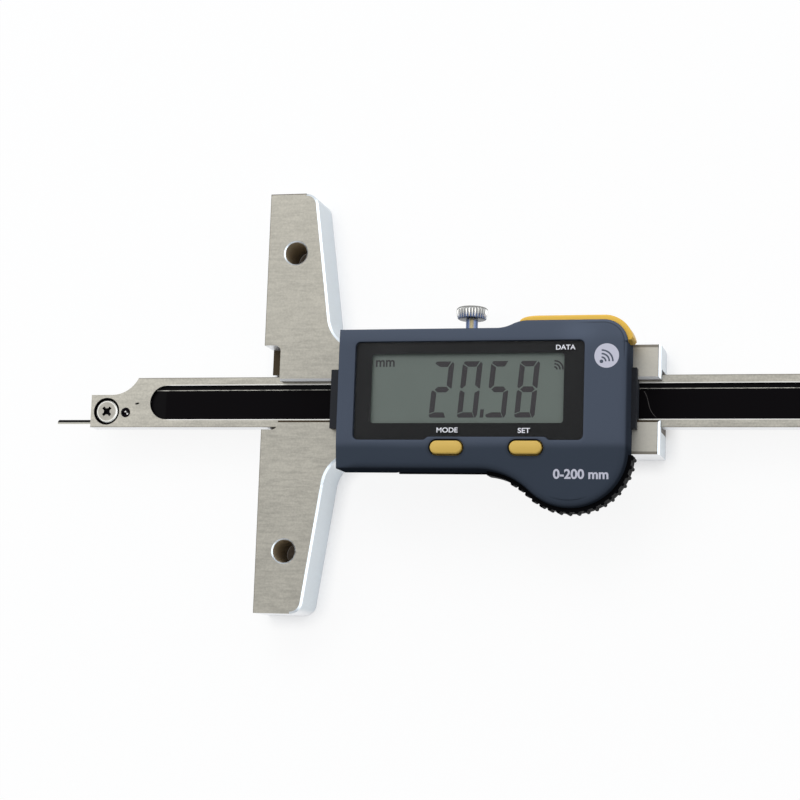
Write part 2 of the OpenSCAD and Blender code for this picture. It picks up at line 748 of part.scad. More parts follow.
module front_cover() {
    color([0.27, 0.3, 0.36]) difference() {
        intersection() {
            slab(frame_t, house_z1 + cut) housing_outline();
            crown_space();
        }
        intersection() {
            slab(frame_t - cut, ceiling_z) cavity_outline();
            crown_space(cover_wall);
        }
        // seat of the window and the opening to the display
        slab(pocket_floor, house_z1 + cut) panel_outline();
        slab(ceiling_z - cut, house_z1 + cut)
            round_box2(view_x0 - 0.6, view_y0 - 0.6, view_x1 + 0.6, view_y1 + 0.6, view_r + 0.6);
        for (x = [mode_x, set_x]) translate([x, key_y]) slab(ceiling_z - 2, house_z1 + cut)
            key_outline(key_gap);
        // recess of the data key and the hole of its stem
        slab(band_z0 - 0.3, band_z1 + 0.3) difference() {
            band_area(0.5);
            housing_outline(band_recess);
        }
        data_post(corner_r - band_wall - cut, corner_r + cut, data_stem_r + 0.3);
        // room for the ribbed rest
        slab(frame_t - cut, rest_z1 + 0.1) rest_area(0.1);
        slab(frame_t - cut, frame_t + 0.9) box2(house_x0 + 13, -30, rest_x0 + 1, -slider_w / 2 - 2.5);
    }
    // posts that take the housing screws
    color([0.27, 0.3, 0.36]) at_cover_screws() difference() {
        translate([0, 0, floor_z + seal_h + 0.1])
            cylinder(r = boss_r, h = ceiling_z + 0.2 - floor_z - seal_h);
        translate([0, 0, floor_z]) cylinder(d = small_screw_d + 2 * screw_gap, h = 4.4);
    }
}

// Flat shape of the rear shell's floor: nested inside the cover, full size at the rest
module floor_outline() {
    cavity_outline(skirt_gap);
    intersection() {
        housing_outline(-rest_proud);
        rest_area();
    }
}

module hatch_outline(d = 0) {
    intersection() {
        translate([bulge_x, -bulge_y]) circle(r = hatch_r - d);
        box2(bulge_x - hatch_r, -bulge_y - hatch_r - cut, bulge_x + hatch_r, hatch_y1 - d);
    }
}

module rear_shell() {
    color([0.09, 0.09, 0.1]) difference() {
        union() {
            slab(frame_t, floor_z) floor_outline();
            // lip that shows along the bottom edge
            slab(frame_t, frame_t + 0.8) intersection() {
                housing_outline(-0.3);
                box2(house_x0 + 13.1, -30, rest_x0 + 0.9, -slider_w / 2 - 2.6);
            }
            // wall and ribs of the thumb rest
            slab(frame_t, rest_z1) intersection() {
                difference() {
                    housing_outline(-rest_proud);
                    housing_outline(cover_wall);
                }
                rest_area();
            }
            rib_row();
            // tongue between the lips that carries the sensor board
            slab(beam_z1 + 1, frame_t + cut / 2) round_box2(sensor_x0 + sensor_gap, -tongue_y,
                sensor_x1 - sensor_gap, tongue_y, 1);
            // posts under the circuit board
            for (p = [[house_x0 + 3.8, 11.4], [house_x0 + 3.8, -11.2], [house_x1 - 4, 11.4]])
                translate([p.x, p.y, frame_t]) cylinder(r = 1.1, h = board_z0 - frame_t);
            translate([hatch_screw_x, hatch_screw_y, frame_t + hatch_t])
                cylinder(r = boss_r, h = 2.6);
        }
        translate([sensor_x0 + 8, -1.2, beam_z1]) cube([12.4, 2.4, frame_t]);
        at_shell_screws() translate([0, 0, frame_t - cut])
            cylinder(d = small_screw_d + 2 * screw_gap, h = floor_t + 2 * cut);
        at_cover_screws() translate([0, 0, frame_t])
            csk_bore(small_screw_d + 2 * screw_gap, small_head_d, floor_t + cut);
        // opening of the cell's hatch, with a ledge that the hatch seats on
        slab(frame_t - cut, frame_t + hatch_t) hatch_outline();
        slab(frame_t - cut, floor_z + cut) difference() {
            hatch_outline(hatch_ledge);
            translate([hatch_screw_x, hatch_screw_y]) circle(r = boss_r + 0.4);
        }
        translate([hatch_screw_x, hatch_screw_y, frame_t])
            cylinder(d = small_screw_d + 2 * screw_gap, h = hatch_t + 2);
    }
}

// Ribs along the bulge and on into the hollow curve beside it, at one even pitch
module rib_row() {
    rest_r = bulge_r + rest_proud;
    hollow_r = blend_r - rest_proud;
    step = rib_pitch / rest_r * 180 / PI;
    hollow_step = rib_pitch / hollow_r * 180 / PI;
    run = (180 - blend_angle - rib_start) / step;
    count = floor(run);
    for (i = [0 : count])
        rib(bulge_x, -bulge_y, rest_r, -rib_start - i * step);
    for (i = [1 : hollow_ribs])
        rib(blend_x, blend_y, hollow_r, blend_angle + (i + count - run) * hollow_step);
}

// One rib at radius r from a centre, in the direction a
module rib(x, y, r, a) {
    translate([x + r * cos(a), y + r * sin(a), frame_t + 0.3])
        cylinder(r = rib_r, h = rest_z1 - frame_t - 0.5, $fn = 20);
}

// Seal on the shell's floor that runs round just inside the cover's wall
module housing_gasket() {
    color([0.12, 0.12, 0.12]) difference() {
        // the core only joins the outline's parts to one solid, and is cut away below
        union() {
            slab(floor_z, floor_z + seal_h) cavity_outline(skirt_gap);
            slab(floor_z, floor_z + seal_h) box2(house_x0 + 5, -5, house_x1 - 5, house_top - cover_wall - 0.6);
        }
        slab(floor_z - cut, floor_z + cut) cavity_outline(skirt_gap + seal_t);
    }
}

// Small pan head screw that points down from level z
module pan_screw(z, len) {
    translate([0, 0, z]) difference() {
        union() {
            translate([0, 0, -len]) cylinder(d = small_screw_d, h = len + 0.1);
            cylinder(d = 3, h = 0.9);
        }
        for (a = [0, 90]) rotate([0, 0, a]) translate([-0.8, -0.2, 0.4]) cube([1.6, 0.4, 1]);
    }
}

module shell_screws() {
    color([0.55, 0.55, 0.56]) at_shell_screws() pan_screw(floor_z, floor_t + 3.2);
}

module cover_screws() {
    color([0.3, 0.3, 0.31]) at_cover_screws() translate([0, 0, frame_t])
        csk_screw(small_screw_d, small_head_d, floor_t + 4);
}

module display_window() {
    color([0.8, 0.84, 0.84, 0.4]) slab(pocket_floor + mask_t, pocket_floor + mask_t + window_t)
        panel_outline(window_gap);
}

// Black print behind the window, open over the display
module display_mask() {
    color([0.1, 0.1, 0.1]) slab(pocket_floor, pocket_floor + mask_t) difference() {
        panel_outline(window_gap);
        round_box2(view_x0, view_y0, view_x1, view_y1, view_r);
    }
}

module lcd_panel() {
    color([0.41, 0.44, 0.42]) slab(lcd_z0, ceiling_z) box2(lcd_x0, lcd_y0, lcd_x1, lcd_y1);
}

module lcd_frame() {
    g = holder_gap;
    w = holder_gap + holder_t;
    color([0.85, 0.85, 0.83]) slab(lcd_z0 - 0.8, ceiling_z) difference() {
        box2(lcd_x0 - w, lcd_y0 - w, lcd_x1 + w, lcd_y1 + w);
        box2(lcd_x0 - g, lcd_y0 - g, lcd_x1 + g, lcd_y1 + g);
    }
}

module zebra_connectors() {
    color([0.75, 0.45, 0.4]) for (y = [lcd_y0 + 0.4, lcd_y1 - 1.2])
        translate([zebra_x0, y, board_z1]) cube([zebra_x1 - zebra_x0, 0.8, lcd_z0 - board_z1]);
}

module circuit_board() {
    color([0.1, 0.35, 0.2]) slab(board_z0, board_z1) difference() {
        union() {
            box2(house_x0 + 1.9, -house_bottom + 1.9, cell_x - cell_r - 0.6, house_top - 2.4);
            box2(house_x0 + 1.9, cell_y + cell_r + 0.8, house_x1 - 2.4, data_centre.y);
            box2(house_x0 + 1.9, 0, data_centre.x, house_top - 2.4);
            translate(data_centre) circle(r = corner_r - band_wall - 0.2);
        }
        at_cover_screws() circle(r = boss_r + 0.3);
    }
}

module controller_chip() {
    color([0.08, 0.08, 0.08]) translate([(view_x0 + view_x1) / 2 - 5, -4, board_z1]) cube([9, 9, 0.9]);
}

module radio_module() {
    color([0.75, 0.75, 0.73]) translate([lcd_x1 + 1.4, -3, board_z1]) cube([6.6, 9, 1.5]);
}

module key_switches() {
    color([0.7, 0.7, 0.7]) for (x = [mode_x, set_x]) translate([x, key_y, board_z1]) {
        translate([-2.2, -1.5, 0]) cube([4.4, 3, 0.7]);
        cylinder(r = 1, h = switch_h);
    }
}

module data_switch() {
    color([0.7, 0.7, 0.7]) translate([data_centre.x, data_centre.y, board_z1]) rotate([0, 0, 45]) {
        translate([-3, -1.9, 0]) cube([3.6, 3.8, 2]);
        translate([0, -0.8, 0.3]) cube([data_stem_end - data_travel - 0.05, 1.6, 1.4]);
    }
}

module sensor_board() {
    color([0.1, 0.35, 0.2]) slab(beam_z1 + tongue_gap, beam_z1 + 1)
        round_box2(sensor_x0 + sensor_gap, -tongue_y, sensor_x1 - sensor_gap, tongue_y, 1);
}

module sensor_connector() {
    color([0.9, 0.88, 0.8]) translate([sensor_x0 + 8.2, -1, beam_z1 + 1])
        cube([12, 2, board_z0 - beam_z1 - 1]);
}

// Oval cap with a soft upper edge, a flange that keeps it in the cover and a stem
module small_key() {
    color([0.82, 0.68, 0.35]) {
        slab(key_flange_z1 - 0.1, key_z1 - 0.3) key_outline();
        slab(key_z1 - 0.3 - 0.01, key_z1 - 0.1) key_outline(-0.12);
        slab(key_z1 - 0.1 - 0.01, key_z1) key_outline(-0.32);
        slab(key_flange_z1 - key_flange_t, key_flange_z1) key_outline(key_flange);
        slab(key_stem_z0, key_flange_z1 - key_flange_t + 0.1) circle(r = 0.9);
    }
}

module mode_button() {
    translate([mode_x, key_y, 0]) small_key();
}

module set_button() {
    translate([set_x, key_y, 0]) small_key();
}

module data_key() {
    color([0.93, 0.75, 0.3]) {
        slab(band_z0, band_z1) intersection() {
            difference() {
                housing_outline(-data_proud);
                housing_outline(band_back);
            }
            band_area();
        }
        data_post(data_stem_end, corner_r - band_back + 0.3, data_stem_r);
    }
}

module battery() {
    color([0.75, 0.75, 0.74]) translate([cell_x, cell_y, cell_z0]) {
        cylinder(r = cell_r - 1, h = cell_t);
        translate([0, 0, 0.4]) cylinder(r = cell_r, h = cell_t - 0.4);
    }
}

// Negative spring leaf under the cell and positive clip over it
module battery_contacts() {
    color([0.8, 0.7, 0.45]) {
        translate([cell_x - 1, cell_y + 2.2, floor_z]) cube([5, 4, spring_t]);
        translate([cell_x - 1.5, cell_y - 1, cell_z1]) cube([3, cell_r + 1.4, spring_t]);
        translate([cell_x - 1.5, cell_y + cell_r + 0.1, board_z0 - 1.4])
            cube([3, spring_t, cell_z1 - board_z0 + 1.4 + spring_t]);
    }
}

module battery_hatch() {
    color([0.1, 0.1, 0.11]) difference() {
        slab(frame_t, frame_t + hatch_t - 0.02) hatch_outline(hatch_gap);
        translate([hatch_screw_x, hatch_screw_y, frame_t])
            csk_bore(small_screw_d + 2 * screw_gap, 2.4, hatch_t + cut);
        for (i = [-1 : 1]) translate([bulge_x + 1, hatch_y1 - 5.6 + i * 0.9, frame_t - cut])
            cube([6, 0.4, 0.3 + cut]);
    }
}

module hatch_screw() {
    color([0.3, 0.3, 0.31]) translate([hatch_screw_x, hatch_screw_y, frame_t])
        csk_screw(small_screw_d, 2.4, hatch_t + 1.8);
}

// Seal block that rides on the slider's front and reaches down between the lips
module wiper(x0, x1) {
    color([0.08, 0.08, 0.09]) {
        translate([x0, -wiper_y, frame_t]) cube([x1 - x0, 2 * wiper_y, wiper_h]);
        translate([x0, -tongue_y, beam_z1 + tongue_gap])
            cube([x1 - x0, 2 * tongue_y, frame_t - beam_z1 - tongue_gap + 0.1]);
    }
}

module left_wiper() {
    wiper(house_x0 - wiper_left, house_x0);
}

module right_wiper() {
    wiper(house_x1, house_x1 + wiper_right);
}

base_frame();
back_plate();
back_plate_screws();
gib_spring();
clamp_pad();
lock_screw();
beam();
scale_strip();
needle();
needle_clamp_screw();
grub_screw();
end_stop();
end_stop_screw();
front_cover();
rear_shell();
housing_gasket();
shell_screws();
cover_screws();
display_window();
display_mask();
lcd_panel();
lcd_frame();
zebra_connectors();
circuit_board();
controller_chip();
radio_module();
key_switches();
data_switch();
sensor_board();
sensor_connector();
mode_button();
set_button();
data_key();
battery();
battery_contacts();
battery_hatch();
hatch_screw();
left_wiper();
right_wiper();
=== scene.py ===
from math import atan2, ceil, cos, pi, radians, sin, sqrt, tan

import bmesh
import bpy
from mathutils import Matrix, Vector
from mathutils.geometry import delaunay_2d_cdt


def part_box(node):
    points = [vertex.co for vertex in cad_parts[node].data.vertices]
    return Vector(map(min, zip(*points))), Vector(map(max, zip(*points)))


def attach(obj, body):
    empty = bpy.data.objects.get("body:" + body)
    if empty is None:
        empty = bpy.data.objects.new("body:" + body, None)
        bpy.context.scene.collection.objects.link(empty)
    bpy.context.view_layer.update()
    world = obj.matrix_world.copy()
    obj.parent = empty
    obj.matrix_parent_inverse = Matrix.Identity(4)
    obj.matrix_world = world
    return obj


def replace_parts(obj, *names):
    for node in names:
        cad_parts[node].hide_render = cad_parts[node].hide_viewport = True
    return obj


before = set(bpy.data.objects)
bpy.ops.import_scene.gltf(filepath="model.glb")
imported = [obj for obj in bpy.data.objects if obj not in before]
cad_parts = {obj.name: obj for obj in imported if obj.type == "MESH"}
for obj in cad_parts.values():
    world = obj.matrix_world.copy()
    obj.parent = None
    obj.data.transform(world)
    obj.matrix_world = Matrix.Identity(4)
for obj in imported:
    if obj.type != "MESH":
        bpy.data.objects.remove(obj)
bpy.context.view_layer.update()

# Looks of a digital depth gauge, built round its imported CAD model. Lengths inside the
# functions are millimetres in the gauge's own frame; meshes are written in metres.

MM = 0.001

bl_info = {
    "name": "Digital depth gauge looks",
    "version": (1, 0, 0),
    "blender": (4, 5, 0),
    "location": "3D View > Sidebar > Depth gauge",
    "description": "Housing, keys, display, finishes and studio of a digital depth gauge",
    "category": "Object",
}


def tone(red, green, blue):
    """A display colour from 0 to 255 as Blender's linear colour."""
    parts = [c / 255 for c in (red, green, blue)]
    return tuple(c / 12.92 if c <= 0.04045 else ((c + 0.055) / 1.055) ** 2.4 for c in parts)


# --------------------------------------------------------------------------- settings

class GaugeSizes(bpy.types.PropertyGroup):
    """Sizes of the forms that are made here"""

    edge_round: bpy.props.FloatProperty(
        name="Edge round", description="Round along the housing's right and lower edges",
        default=1.5 * MM, unit="LENGTH")
    edge_small: bpy.props.FloatProperty(
        name="Small edge round", description="Round along the housing's left and upper edges",
        default=0.45 * MM, unit="LENGTH")
    low_slope: bpy.props.FloatProperty(
        name="Lower slope", description="Slope of the housing's front below the window",
        default=radians(9), unit="ROTATION")
    high_slope: bpy.props.FloatProperty(
        name="Upper slope", description="Slope of the housing's front above the window",
        default=radians(7), unit="ROTATION")
    key_round: bpy.props.FloatProperty(
        name="Key round", description="Round of the upper edge of the oval keys",
        default=0.45 * MM, unit="LENGTH")
    digit_height: bpy.props.FloatProperty(
        name="Digit height", description="Height of the digits on the display",
        default=13.0 * MM, unit="LENGTH")
    digit_lean: bpy.props.FloatProperty(
        name="Digit lean", description="Angle at which the digits lean to the right",
        default=radians(4.7), unit="ROTATION")
    flute_count: bpy.props.IntProperty(
        name="Flutes", description="Number of flutes round the head of the lock screw",
        default=30, min=12, max=60)


class GaugeColours(bpy.types.PropertyGroup):
    """Colours of the finishes"""

    steel: bpy.props.FloatVectorProperty(
        name="Steel", description="Ground steel of base, slider and rod",
        subtype="COLOR", min=0, max=1, default=tone(176, 172, 161))
    # Painted reflection: a brighter, cooler colour given to the steel's walls and bevels in place
    # of the light they reflect.
    painted_flank_sheen: bpy.props.FloatVectorProperty(
        name="Steel flanks", description="Brighter steel of the bevels and the sides",
        subtype="COLOR", min=0, max=1, default=tone(214, 221, 226))
    housing: bpy.props.FloatVectorProperty(
        name="Housing", description="Blue-grey plastic of the housing's front",
        subtype="COLOR", min=0, max=1, default=tone(74, 82, 96))
    # Painted shade: the housing's front below the window is given this darker colour.
    housing_low_shade: bpy.props.FloatVectorProperty(
        name="Housing, lower part", description="Darker plastic below the window",
        subtype="COLOR", min=0, max=1, default=tone(56, 64, 76))
    shell: bpy.props.FloatVectorProperty(
        name="Rear shell", description="Black plastic of the rear shell and the seals",
        subtype="COLOR", min=0, max=1, default=tone(13, 13, 15))
    panel: bpy.props.FloatVectorProperty(
        name="Window print", description="Black print behind the window",
        subtype="COLOR", min=0, max=1, default=tone(20, 20, 20))
    display: bpy.props.FloatVectorProperty(
        name="Display", description="Grey-green ground of the display",
        subtype="COLOR", min=0, max=1, default=tone(118, 128, 121))
    digits: bpy.props.FloatVectorProperty(
        name="Digits", description="Dark bars of the display",
        subtype="COLOR", min=0, max=1, default=tone(66, 63, 65))
    keys: bpy.props.FloatVectorProperty(
        name="Keys", description="Yellow of the two oval keys",
        subtype="COLOR", min=0, max=1, default=tone(212, 177, 88))
    band: bpy.props.FloatVectorProperty(
        name="Data key", description="Yellow of the band key on the corner",
        subtype="COLOR", min=0, max=1, default=tone(234, 188, 75))
    print: bpy.props.FloatVectorProperty(
        name="Prints", description="Pale prints on the housing and the window",
        subtype="COLOR", min=0, max=1, default=tone(196, 196, 210))


# ---------------------------------------------------------------- materials by formula

def sums(operation, swapped=False):
    """A method that puts a Math node behind a wire and another value."""
    def work(self, other):
        return self.bench.math(operation, *((other, self) if swapped else (self, other)))

    return work


class Wire:
    """One socket of a shader tree that Python's operators work on."""

    def __init__(self, bench, socket):
        self.bench = bench
        self.socket = socket

    __add__ = __radd__ = sums("ADD")
    __sub__, __rsub__ = sums("SUBTRACT"), sums("SUBTRACT", True)
    __mul__ = __rmul__ = sums("MULTIPLY")
    __truediv__ = sums("DIVIDE")
    __gt__, __lt__ = sums("GREATER_THAN"), sums("LESS_THAN")

    def __abs__(self):
        return self.bench.math("ABSOLUTE", self)


class Bench:
    """Builds one shader tree, either a material's or the world's."""

    def __init__(self, owner):
        self.owner = owner
        owner.use_nodes = True
        self.tree = owner.node_tree
        self.tree.nodes.clear()

    def add(self, kind, settings=None, sockets=None, out=0):
        """Adds a node, sets it up, fills its sockets and returns one of its outputs."""
        node = self.tree.nodes.new(kind)
        for name, value in (settings or {}).items():
            if name == "stops":
                ramp = node.color_ramp.elements
                while len(ramp) < len(value):
                    ramp.new(1)
                for stop, (place, colour) in zip(ramp, value):
                    stop.position = place
                    stop.color = (*colour, 1)
            else:
                setattr(node, name, value)
        for key, value in (sockets or {}).items():
            if isinstance(value, Wire):
                self.tree.links.new(value.socket, node.inputs[key])
            elif node.inputs[key].type == "RGBA" and len(value) == 3:
                node.inputs[key].default_value = (*value, 1)
            else:
                node.inputs[key].default_value = value
        return Wire(self, node.outputs[out])

    def math(self, operation, *values):
        return self.add("ShaderNodeMath", {"operation": operation}, dict(enumerate(values)))

    def coords(self, scale=(1, 1, 1)):
        """Place on the gauge in metres, stretched by scale."""
        place = self.add("ShaderNodeTexCoord", out="Object")
        if scale == (1, 1, 1):
            return place
        return self.add("ShaderNodeVectorMath", {"operation": "MULTIPLY"}, {0: place, 1: scale})

    def axes(self, vector):
        split = self.add("ShaderNodeSeparateXYZ", None, {0: vector})
        node = split.socket.node
        return [Wire(self, node.outputs[i]) for i in range(3)]

    def place(self):
        """Place on the gauge in millimetres, axis by axis."""
        return self.axes(self.coords((1 / MM, 1 / MM, 1 / MM)))

    def normal(self):
        return self.axes(self.add("ShaderNodeNewGeometry", out="Normal"))

    def noise(self, scale, detail=3.0, stretch=(1, 1, 1), rough=0.5):
        """Noise from 0 to 1, with scale in marks per metre."""
        return self.add("ShaderNodeTexNoise", None, {
            "Vector": self.coords(stretch), "Scale": scale, "Detail": detail,
            "Roughness": rough})

    def length(self, first, second):
        """Distance of a point from its two legs."""
        return self.math("SQRT", first * first + second * second)

    def ease(self, value, low, high, start=0.0, end=1.0):
        """A smooth rise from start to end as value goes from low to high."""
        return self.add("ShaderNodeMapRange", {"interpolation_type": "SMOOTHSTEP"}, {
            "Value": value, "From Min": low, "From Max": high, "To Min": start, "To Max": end})

    def mix(self, share, first, second):
        """Colour that goes from first to second with share."""
        return self.add("ShaderNodeMix", {"data_type": "RGBA"}, {0: share, 6: first, 7: second}, 2)

    def tint(self, colour, factor):
        """Colour times a number that varies."""
        return self.add("ShaderNodeVectorMath", {"operation": "SCALE"}, {0: colour, 3: factor})

    def bump(self, height, strength=0.1, distance=0.00002):
        return self.add("ShaderNodeBump", None, {
            "Height": height, "Strength": strength, "Distance": distance})

    def rays(self):
        """Whether a camera, glossy or transmitted ray is being followed."""
        node = self.add("ShaderNodeLightPath").socket.node
        kinds = "Is Camera Ray", "Is Glossy Ray", "Is Transmission Ray"
        return [Wire(self, node.outputs[kind]) for kind in kinds]

    def larger(self, value, least):
        """The larger of a value and a number."""
        return self.math("MAXIMUM", value, least)

    def surface(self, sockets):
        """Ends the tree in a Principled shader with these sockets."""
        return self.end(self.add("ShaderNodeBsdfPrincipled", None, sockets))

    def end(self, shader, kind="ShaderNodeOutputMaterial"):
        """Puts the output behind a shader and returns the material or world."""
        node = self.tree.nodes.new(kind)
        self.tree.links.new(shader.socket, node.inputs["Surface"])
        return self.owner


def material(name):
    return Bench(bpy.data.materials.new(name))


def dye(name):
    """One of the colours that the user may change."""
    return tuple(getattr(bpy.context.scene.gauge_colours, name))


def sizes():
    return bpy.context.scene.gauge_sizes


def in_mm(box):
    """Lower and upper corner of a CAD node's box in millimetres."""
    return [Vector(corner) / MM for corner in box]


def ground_steel(name, stretch, *masks, spread=0.12, light=1.0):
    """Ground steel with grain along one axis, and a painted reflection on its walls, bevels and
    downward faces.

    Each mask is a function that finds a place, the colour that it gets there, and how much
    of the metal's gloss it takes away.
    """
    b = material(name)
    grain = b.ease(b.noise(1, 4.0, stretch, 0.65), 0.32, 0.68)
    cloud = b.noise(70, 2.0)
    fine = b.ease(b.noise(2200, 2.0), 0.3, 0.7)
    normal = b.normal()
    # Painted reflection: walls and bevels get the brighter, cooler side colour, and downward faces
    # a near-white colour.
    painted_flank_sheen = b.ease(abs(normal[2]), 0.93, 0.8)
    under = b.ease(normal[1], -0.5, -0.9)
    mottle = light * (1 - spread + spread * grain + spread * fine + 0.1 * (cloud - 0.5))
    side = b.mix(under, dye("painted_flank_sheen"), tone(245, 246, 248))
    colour = b.mix(painted_flank_sheen, b.tint(dye("steel"), mottle), b.tint(side, 0.96 + 0.05 * grain))
    metal = 1.0
    x, y, z = b.place()
    for find, shade, dull in masks:
        mask = find(b, x, y, z, normal)
        colour = b.mix(mask, colour, shade)
        metal = metal - mask * dull
    return b.surface({
        "Base Color": colour, "Metallic": metal, "Specular IOR Level": 0.08,
        "Roughness": 0.3 + 0.1 * grain + 0.1 * cloud,
        "Normal": b.bump(grain + fine * 0.4, 0.14)})


def bright_metal(name, colour, rough, scale=700):
    """Turned and plated metal of screws, springs and contacts."""
    b = material(name)
    grain = b.noise(scale, 3.0)
    wear = b.ease(b.noise(220, 3.0), 0.5, 0.75)
    return b.surface({
        "Base Color": b.mix(wear * 0.35, colour, tuple(c * 0.6 for c in colour)), "Metallic": 1.0,
        "Roughness": rough + 0.12 * grain + 0.1 * wear,
        "Normal": b.bump(grain)})


def slotted_metal(name, colour, inside, node, rough, rim, painted_glint=None):
    """Turned metal whose rim can take a painted highlight and whose driving recess has another
    colour; a bright painted glint line can cross its head.
    """
    b = material(name)
    grain = b.noise(700, 3.0)
    low, high = in_mm(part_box(node))
    centre = (low + high) / 2
    x, y, z = b.place()
    x, y = x - centre.x, y - centre.y
    away = b.length(x, y)
    radius = (high.x - low.x) / 2
    within = b.ease(away, radius * 0.88, radius * 0.88 - 0.1)
    deep = within * b.ease(z, high.z - 0.08, high.z - 0.22)
    face = b.tint(colour, 0.85 + 0.3 * grain)
    # Painted highlight: a bright ring just inside the head's edge.
    face = b.mix(b.ease(away, radius * 0.78, radius * 0.88) * rim, face, tone(240, 238, 230))
    face = b.mix(deep, face, inside)
    metal = 1 - deep * 0.7
    # Painted glint: a short bright line across the head.
    if painted_glint:
        along, across = (x + y) * sqrt(0.5), (y - x) * sqrt(0.5)
        line = b.ease(abs(along), 0.22, 0.14) * b.ease(abs(across), 0.6, 0.5)
        face = b.mix(line, face, painted_glint)
        metal = metal - line * 0.8
    return b.surface({
        "Base Color": face, "Metallic": metal, "Specular IOR Level": 0.1,
        "Roughness": rough + 0.12 * grain, "Normal": b.bump(grain)})


def knurled_metal():
    """Plated steel of the lock screw with painted shade and reflections: dark between its flutes,
    dark under its head and round the edge of its top, and a yellow-to-blue painted reflection
    across its stem.
    """
    b = material("lock_steel")
    grain = b.noise(900, 3.0)
    axis = sum(in_mm(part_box("lock_screw")), Vector()) / 2
    x, y, z = b.place()
    normal = b.normal()
    away = b.length(x - axis.x, z - axis.z) + (21.6 - y) * 0.2
    flute = b.ease(away, 3.72, 3.56) * (y < 22.2) * (y > KNOB_Y) * (away > 3.0)
    # Painted shade: downward faces under the head are painted dark.
    below = b.ease(normal[1], -0.4, -0.8)
    stem = b.ease(y, KNOB_Y, KNOB_Y - 0.1)
    # Painted shade: a dark ring round the edge of the head's top.
    painted_crown_shade = b.ease(y, KNOB_TOP - 0.6, KNOB_TOP - 0.25) * b.ease(away, 2.7, 3.1)
    # Painted reflection on the stem: yellow along its middle, blue-grey out to its sides.
    painted_shank_reflection = b.mix(b.ease(abs(x - axis.x - 0.2), 0.1, 0.7), tone(208, 192, 148), tone(92, 106, 138))
    # Painted shade between the flutes: grey near the top of the head, blue-grey towards its
    # underside.
    painted_groove_shade = b.mix(b.ease(y, 21.2, 20.2), tone(160, 160, 158), tone(96, 112, 152))
    colour = b.tint(tone(236, 234, 228), 0.88 + 0.24 * grain)
    colour = b.mix(flute, colour, painted_groove_shade)
    colour = b.mix(painted_crown_shade * 0.85, colour, tone(96, 95, 92))
    colour = b.mix(below, b.mix(stem, colour, painted_shank_reflection), tone(34, 38, 46))
    return b.surface({
        "Base Color": colour, "Metallic": 1 - 0.5 * flute - 0.4 * below - 0.3 * stem,
        "Specular IOR Level": 0.2, "Roughness": 0.2 + 0.1 * grain,
        "Normal": b.bump(grain)})


def moulded(name, colour, rough, fine=2600, depth=0.25, lift=0.12, gloss=0.3):
    """Moulded plastic or rubber with a fine sparked texture and light handling wear."""
    b = material(name)
    spark = b.noise(fine, 2.0)
    cloud = b.noise(60, 3.0)
    return b.surface({
        "Base Color": b.tint(colour, 1 - lift / 2 + lift * cloud),
        "Roughness": rough + 0.14 * cloud - 0.06 * spark, "Specular IOR Level": gloss,
        "Normal": b.bump(spark, depth, 0.00003)})


def housing_plastic():
    """Satin blue-grey plastic with painted shade below the window, on its walls and round the keys,
    and a slightly lighter painted upper strip.

    The corner has a thin painted shade line with a paler painted highlight rim outside it, and a
    soft painted highlight spot inside it.
    """
    b = material("housing_plastic")
    x, y, _ = b.place()
    normal = b.normal()
    spark = b.noise(3200, 2.0)
    cloud = b.noise(45, 3.0)
    # Painted shade below the window, and a slightly lighter painted strip above it.
    low = b.ease(y + cloud - 0.5, CREASE_LOW, CREASE_LOW - 1.9)
    high = b.ease(y, PANEL_Y1 - 1.0, PANEL_Y1 + 1.6)
    colour = b.mix(low, b.tint(dye("housing"), 1 + 0.08 * high), dye("housing_low_shade"))
    # Painted shade on the walls and on downward faces.
    walls = b.ease(normal[2], 0.74, 0.36) + 0.3 * b.ease(normal[1], -0.5, -0.9)
    shade = 0.97 + 0.06 * cloud
    # Painted shade in a soft ring round each key.
    for key_x in KEY_X:
        past = b.larger(abs(x - key_x) - (KEY_HALF - KEY_R), 0.0)
        around = b.length(past, y - (KEY_Y - 0.18))
        shade = shade - 0.22 * b.ease(around, KEY_R + 1.1, KEY_R + 0.3)
    # At the corner: a thin painted shade line, a paler painted highlight rim outside it, and a soft
    # painted highlight spot.
    out = b.length(b.larger(x - CORNER.x, 0.0), b.larger(y - CORNER.y, 0.0))
    near = b.ease(x, 74.5, 80.5) * b.ease(y, 6.5, 10.5)
    corner_shade_line = b.ease(abs(out - (CORNER_R - 0.72)), 0.22, 0.06)
    rim = b.ease(out, CORNER_R - 0.62, CORNER_R - 0.5)
    highlight_spot = b.ease(b.length(x - HIGHLIGHT_CENTRE[0], (y - HIGHLIGHT_CENTRE[1]) * 1.3), 6.8, 0.0)
    shade = shade + near * (0.16 * rim - 0.34 * corner_shade_line) + 0.2 * highlight_spot
    rub = b.ease(b.noise(130, 4.0), 0.55, 0.8)
    return b.surface({
        "Base Color": b.tint(colour, shade - 0.42 * walls),
        "Roughness": 0.5 + 0.1 * rub - 0.05 * spark, "Specular IOR Level": 0.0,
        "Coat Weight": 0.14 * b.ease(normal[2], 0.3, 0.8), "Coat Roughness": 0.5,
        "Normal": b.bump(spark, 0.18, 0.00003)})


def glass(name, colour, alpha, rough):
    """Clear window: mostly see-through, with a glossy face and faint smears."""
    b = material(name)
    smear = b.noise(90, 4.0)
    return b.surface({
        "Base Color": colour, "Alpha": alpha + 0.03 * smear,
        "Roughness": rough + 0.06 * smear, "Specular IOR Level": 0.25})


